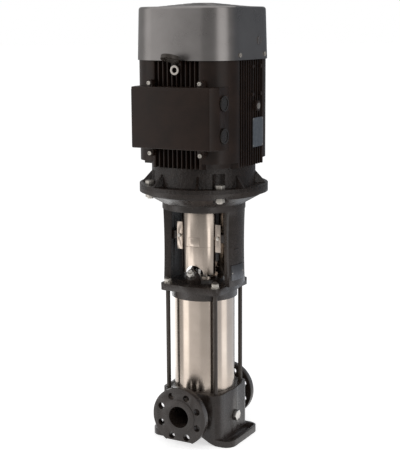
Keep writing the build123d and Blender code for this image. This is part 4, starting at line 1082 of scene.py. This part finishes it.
@dataclass
class Coupling:
    """Split coupling, seal collar and the sheet guards round them.

    Attributes:
        half_edge: Rounding of the coupling halves.
        pinch_edge: Rounding of the screws that hold them together.
        sheet_edge: Rounding of the guards' sheet.
        near_radius: Radius of the guards' shell in the solids.
        near_bend: Distance of its bends from the middle in the solids.
        wide_radius: Radius of the real shell.
        wide_bend: Distance of its bends from the middle.
        ear_shift: How much further out the real ears stand.
        screw_reach: Distance from the middle past which the ears keep their width.
        screw_edge: Rounding of the guard screws.
        screw_seat: Distance of the real ears' outer face from the centre plane.
        screw_head: Height of the screw heads.
        screw_recess: Rim and depth of the drive in the screw heads.
        rear_edge: Height under which a corner is on the rear guard's lower edge.
        rear_drop: How much lower that edge is than in the solid.
        tag: Bare tag on the front guard.
        crease: Pressed line round the front guard.
        lug_low: Lowest corner of the lug at the rear right.
        lug_high: Its highest corner.
        lug_edge: Rounding of the lugs.
        lug_steps: Steps of that rounding.
        lug_taper: Height of a lug's end at the guard as a share of that at the wall.
    """

    half_edge: float = 0.8 * MM
    pinch_edge: float = 0.5 * MM
    sheet_edge: float = 0.4 * MM
    near_radius: float = 47 * MM
    near_bend: float = 45.7 * MM
    wide_radius: float = 60.5 * MM
    wide_bend: float = 52 * MM
    ear_shift: float = 20.5 * MM
    screw_reach: float = 60 * MM
    screw_edge: float = 0.6 * MM
    screw_seat: float = 32.2 * MM
    screw_head: float = 3.5 * MM
    screw_recess: Span = (1.4 * MM, 1.5 * MM)
    rear_edge: float = 0.5
    rear_drop: float = 23 * MM
    tag: Strip = Strip((-104, -73), (0.548, 0.572), 61.4 * MM, 0.6 * MM, BRUSHED_STAINLESS)
    crease: Strip = Strip((-147, -33), (0.5442, 0.5458), 61.2 * MM, 0.8 * MM, BRUSHED_STAINLESS)
    lug_low: Triple = (52 * MM, 9 * MM, 556 * MM)
    lug_high: Triple = (92 * MM, 30.3 * MM, 582 * MM)
    lug_edge: float = 2.5 * MM
    lug_steps: int = 3
    lug_taper: float = 0.8

    def build(self) -> None:
        """Dress the coupling and its guards."""
        for half in ("coupling_half_front", "coupling_half_rear"):
            soften(half, TURNED_IRON, self.half_edge, ROTOR)
        soften("coupling_screws", BLACK_STEEL, self.pinch_edge, ROTOR)
        dress("coupling_pin", GROUND_STEEL)
        dress("seal_collar", GROUND_STEEL)
        screws = soften("guard_screws", ZINC, self.screw_edge)
        for side, word in ((-1, "front"), (1, "rear")):
            guard = soften(f"guard_{word}", BRUSHED_STAINLESS, self.sheet_edge)
            reshape(guard, lambda corner, side=side: self.widen(corner, side))
            way = (0, side * self.ear_shift, 0)
            shift(screws, lambda centre, normal, side=side: centre.y * side > 0, way)
            self.cast_lugs(side, word)
        smooth(screws)
        for side in (-1, 1):
            sink(screws, (0, side, 0), self.screw_seat + self.screw_head, *self.screw_recess)
        self.tag.bend("guard_tag")
        self.crease.bend("guard_crease")

    def widen(self, corner: Vector, side: int) -> Vector:
        """Move a corner of a guard of the frame to its place on the real, wider guard.

        Args:
            corner: A corner of the solid's mesh, whose shell and ears are nearer to the shaft.
            side: Minus one in front of the shaft and one behind it.

        Returns:
            The corner on a shell round the shaft whose ears stand further out.
        """
        reach, hand = abs(corner.x), 1 if corner.x > 0 else -1
        out = corner.y * side
        drop = self.rear_drop if side > 0 and corner.z < self.rear_edge else 0
        if reach <= self.near_bend:
            radius = self.wide_radius + math.hypot(corner.x, corner.y) - self.near_radius
            wide = corner.x * self.wide_bend / self.near_bend
            return Vector((wide, side * math.sqrt(radius**2 - wide**2), corner.z - drop))
        if reach < self.screw_reach:
            share = (reach - self.near_bend) / (self.screw_reach - self.near_bend)
            reach = self.wide_bend + share * (self.screw_reach - self.wide_bend)
        return Vector((hand * reach, side * (out + self.ear_shift), corner.z))

    def cast_lugs(self, side: int, word: str) -> None:
        """Cast the lugs that carry one guard's ears on the stool's walls.

        Args:
            side: Minus one in front of the shaft and one behind it.
            word: The guard's name.
        """
        for turn, hand in ((-1, "left"), (1, "right")):
            ends = [Vector((turn * x, side * y, z)) for x, y, z in (self.lug_low, self.lug_high)]
            low = [min(pair) for pair in zip(*ends)]
            high = [max(pair) for pair in zip(*ends)]
            lug = block(f"guard_lug_{word}_{hand}", low, high)

            def taper() -> None:
                """Make the end at the guard lower."""
                choose_faces(lug, lambda centre, normal: normal.x * turn < -ROUGHLY_ON)
                bpy.ops.transform.resize(value=(1, 1, self.lug_taper))

            edit(lug, taper)
            bevel(lug, self.lug_edge, self.lug_steps)
            smooth(lug)
            finish_piece(lug, DIPPED_IRON)


@dataclass
class Motor:
    """Flange, finned frame, terminal box, hood and what they hold.

    Attributes:
        cast_edge: Rounding of the cast edges.
        fin_edge: Rounding of the fins.
        fastener_edge: Rounding of the flange's bolts and nuts.
        screw_edge: Rounding of the small screws.
        plug_edge: Rounding of the blind plugs.
        eye_edge: Rounding of the forged eyes.
        box_top: Height of the terminal box's top in the solid.
        box_growth: How much higher the real box is.
        top_slope: Least upward share of the normal of a face on the box's top.
        box_recess: Rim and depth of the drive in the box's screws.
        plug_recess: Rim and depth of the hollow in the blind plugs.
        hood_recess: Rim and depth of the drive in the hood's screws.
        socket_ring: Machined ring round a spare thread for a lifting eye.
        socket_reach: Distance of the rings from the centre plane.
        socket_height: Height of the rings.
        boss_plug: Plug in the boss on the side.
        boss_place: Where it sits.
        hood_cap: Cap on the side of the hood.
        hood_place: Where it sits.
        plate: Bare plate on the side.
        plate_rivet: Rivet at each corner of the plate.
        rivet_inset: Distance of the rivets from the plate's edges.
        hidden: Pieces that nothing shows, with their finishes; the bearing rings are in build.
    """

    cast_edge: float = 1.2 * MM
    fin_edge: float = 0.7 * MM
    fastener_edge: float = 0.8 * MM
    screw_edge: float = 0.6 * MM
    plug_edge: float = 1.0 * MM
    eye_edge: float = 2.5 * MM
    box_top: float = 0.978
    box_growth: float = 5 * MM
    top_slope: float = 0.2
    box_recess: Span = (1.6 * MM, 1.6 * MM)
    plug_recess: Span = (3 * MM, 1.5 * MM)
    hood_recess: Span = (1.8 * MM, 1.2 * MM)
    socket_ring: Ring = Ring(7 * MM, 12.5 * MM, 0.8 * MM, 0.25 * MM, TURNED_ALUMINIUM)
    socket_reach: float = 152.3 * MM
    socket_height: float = 1.025
    boss_plug: Button = Button(8.5 * MM, 1.6 * MM, 2.5 * MM, 0.6 * MM, TURNED_ALUMINIUM)
    boss_place: Triple = (148.6 * MM, 35 * MM, 0.926)
    hood_cap: Button = Button(11 * MM, 2.4 * MM, 1.6 * MM, 1.4 * MM, HOOD_PAINT)
    hood_place: Triple = (147.6 * MM, 41.6 * MM, 1.098)
    plate: PressedPlate = PressedPlate()
    plate_rivet: Button = Button(1.8 * MM, 1.4 * MM, 0.8 * MM, 0.3 * MM, ZINC)
    rivet_inset: float = 4 * MM
    hidden: tuple[tuple[str, Finish], ...] = (
        ("stator_core", CORE_SHEET),
        ("stator_windings", WINDING_WIRE),
        ("rotor_core", CORE_SHEET),
        ("fan_end_shield", MOTOR_ENAMEL),
        ("terminal_board", BOARD_RESIN),
    )

    def build(self) -> None:
        """Dress the motor from the flange up."""
        for node, look in self.hidden:
            dress(node, look)
        for end in ("drive", "fan"):
            dress(f"{end}_bearing_outer_ring", GROUND_STEEL)
            dress(f"{end}_bearing_inner_ring", GROUND_STEEL)
        soften("motor_shaft", GROUND_STEEL, 0, ROTOR)
        soften("cooling_fan", FAN_NYLON, 0, ROTOR)
        soften("motor_flange", ROUGH_IRON, self.cast_edge)
        soften("stator_frame", MOTOR_ENAMEL, self.fin_edge)
        soften("flange_bolts", ZINC, self.fastener_edge)
        soften("flange_nuts", ZINC, self.fastener_edge)
        soften("lifting_eyes", BLACK_STEEL, self.eye_edge)
        for node in ("terminal_box", "terminal_box_cover"):
            self.raise_top(soften(node, MOTOR_ENAMEL, self.cast_edge))
        box_screws = soften("terminal_box_screws", ZINC, self.screw_edge)
        sink(box_screws, (0, -1, 0), -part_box("terminal_box_screws")[0][1], *self.box_recess)
        plugs = soften("cable_entry_plugs", PLUG_NYLON_AND_SLOT_SHADE, self.plug_edge)
        sink(plugs, (1, 0, 0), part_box("cable_entry_plugs")[1][0], *self.plug_recess)
        soften("fan_cover", HOOD_PAINT, 0)
        hood_screws = soften("fan_cover_screws", ZINC, self.screw_edge)
        for way in (-1, 1):
            sink(hood_screws, (way, 0, 0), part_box("fan_cover_screws")[1][0], *self.hood_recess)
        self.add_trims()

    def raise_top(self, shell: Piece) -> None:
        """Raise the top of the terminal box or of its cover, as the real box is higher.

        Args:
            shell: Stand-in for the box or for its cover.
        """

        def is_top(centre: Vector, normal: Vector) -> bool:
            """Tell whether a face is on the top, not on the lugs above it."""
            return abs(centre.z - self.box_top) < self.cast_edge and normal.z > self.top_slope

        shift(shell, is_top, (0, 0, self.box_growth))
        smooth(shell)

    def add_trims(self) -> None:
        """Add the machined rings, the side plug, the hood's cap and the bare plate with its rivets."""
        for side, word in ((-1, "front"), (1, "rear")):
            centre = (0, side * self.socket_reach, self.socket_height)
            self.socket_ring.turn(f"spare_socket_ring_{word}", centre, (0, side, 0))
        self.boss_plug.turn("side_boss_plug", self.boss_place, (1, 0, 0))
        self.hood_cap.turn("hood_side_cap", self.hood_place, (1, 0, 0))
        self.plate.press("motor_plate")
        low, high, inset = self.plate.low, self.plate.high, self.rivet_inset
        columns, rows = ((low[axis] + inset, high[axis] - inset) for axis in (1, 2))
        for number, (y, z) in enumerate(((y, z) for z in rows for y in columns), 1):
            self.plate_rivet.turn(f"motor_plate_rivet_{number}", (high[0], y, z), (1, 0, 0))


def main() -> None:
    """Build the pump's looks in order, then the studio."""
    logging.basicConfig(level=logging.INFO, format="%(name)s: %(message)s")
    PumpEnd().build()
    Stages().build()
    Coupling().build()
    Motor().build()
    Studio().build()


if __name__ == "__main__":
    main()
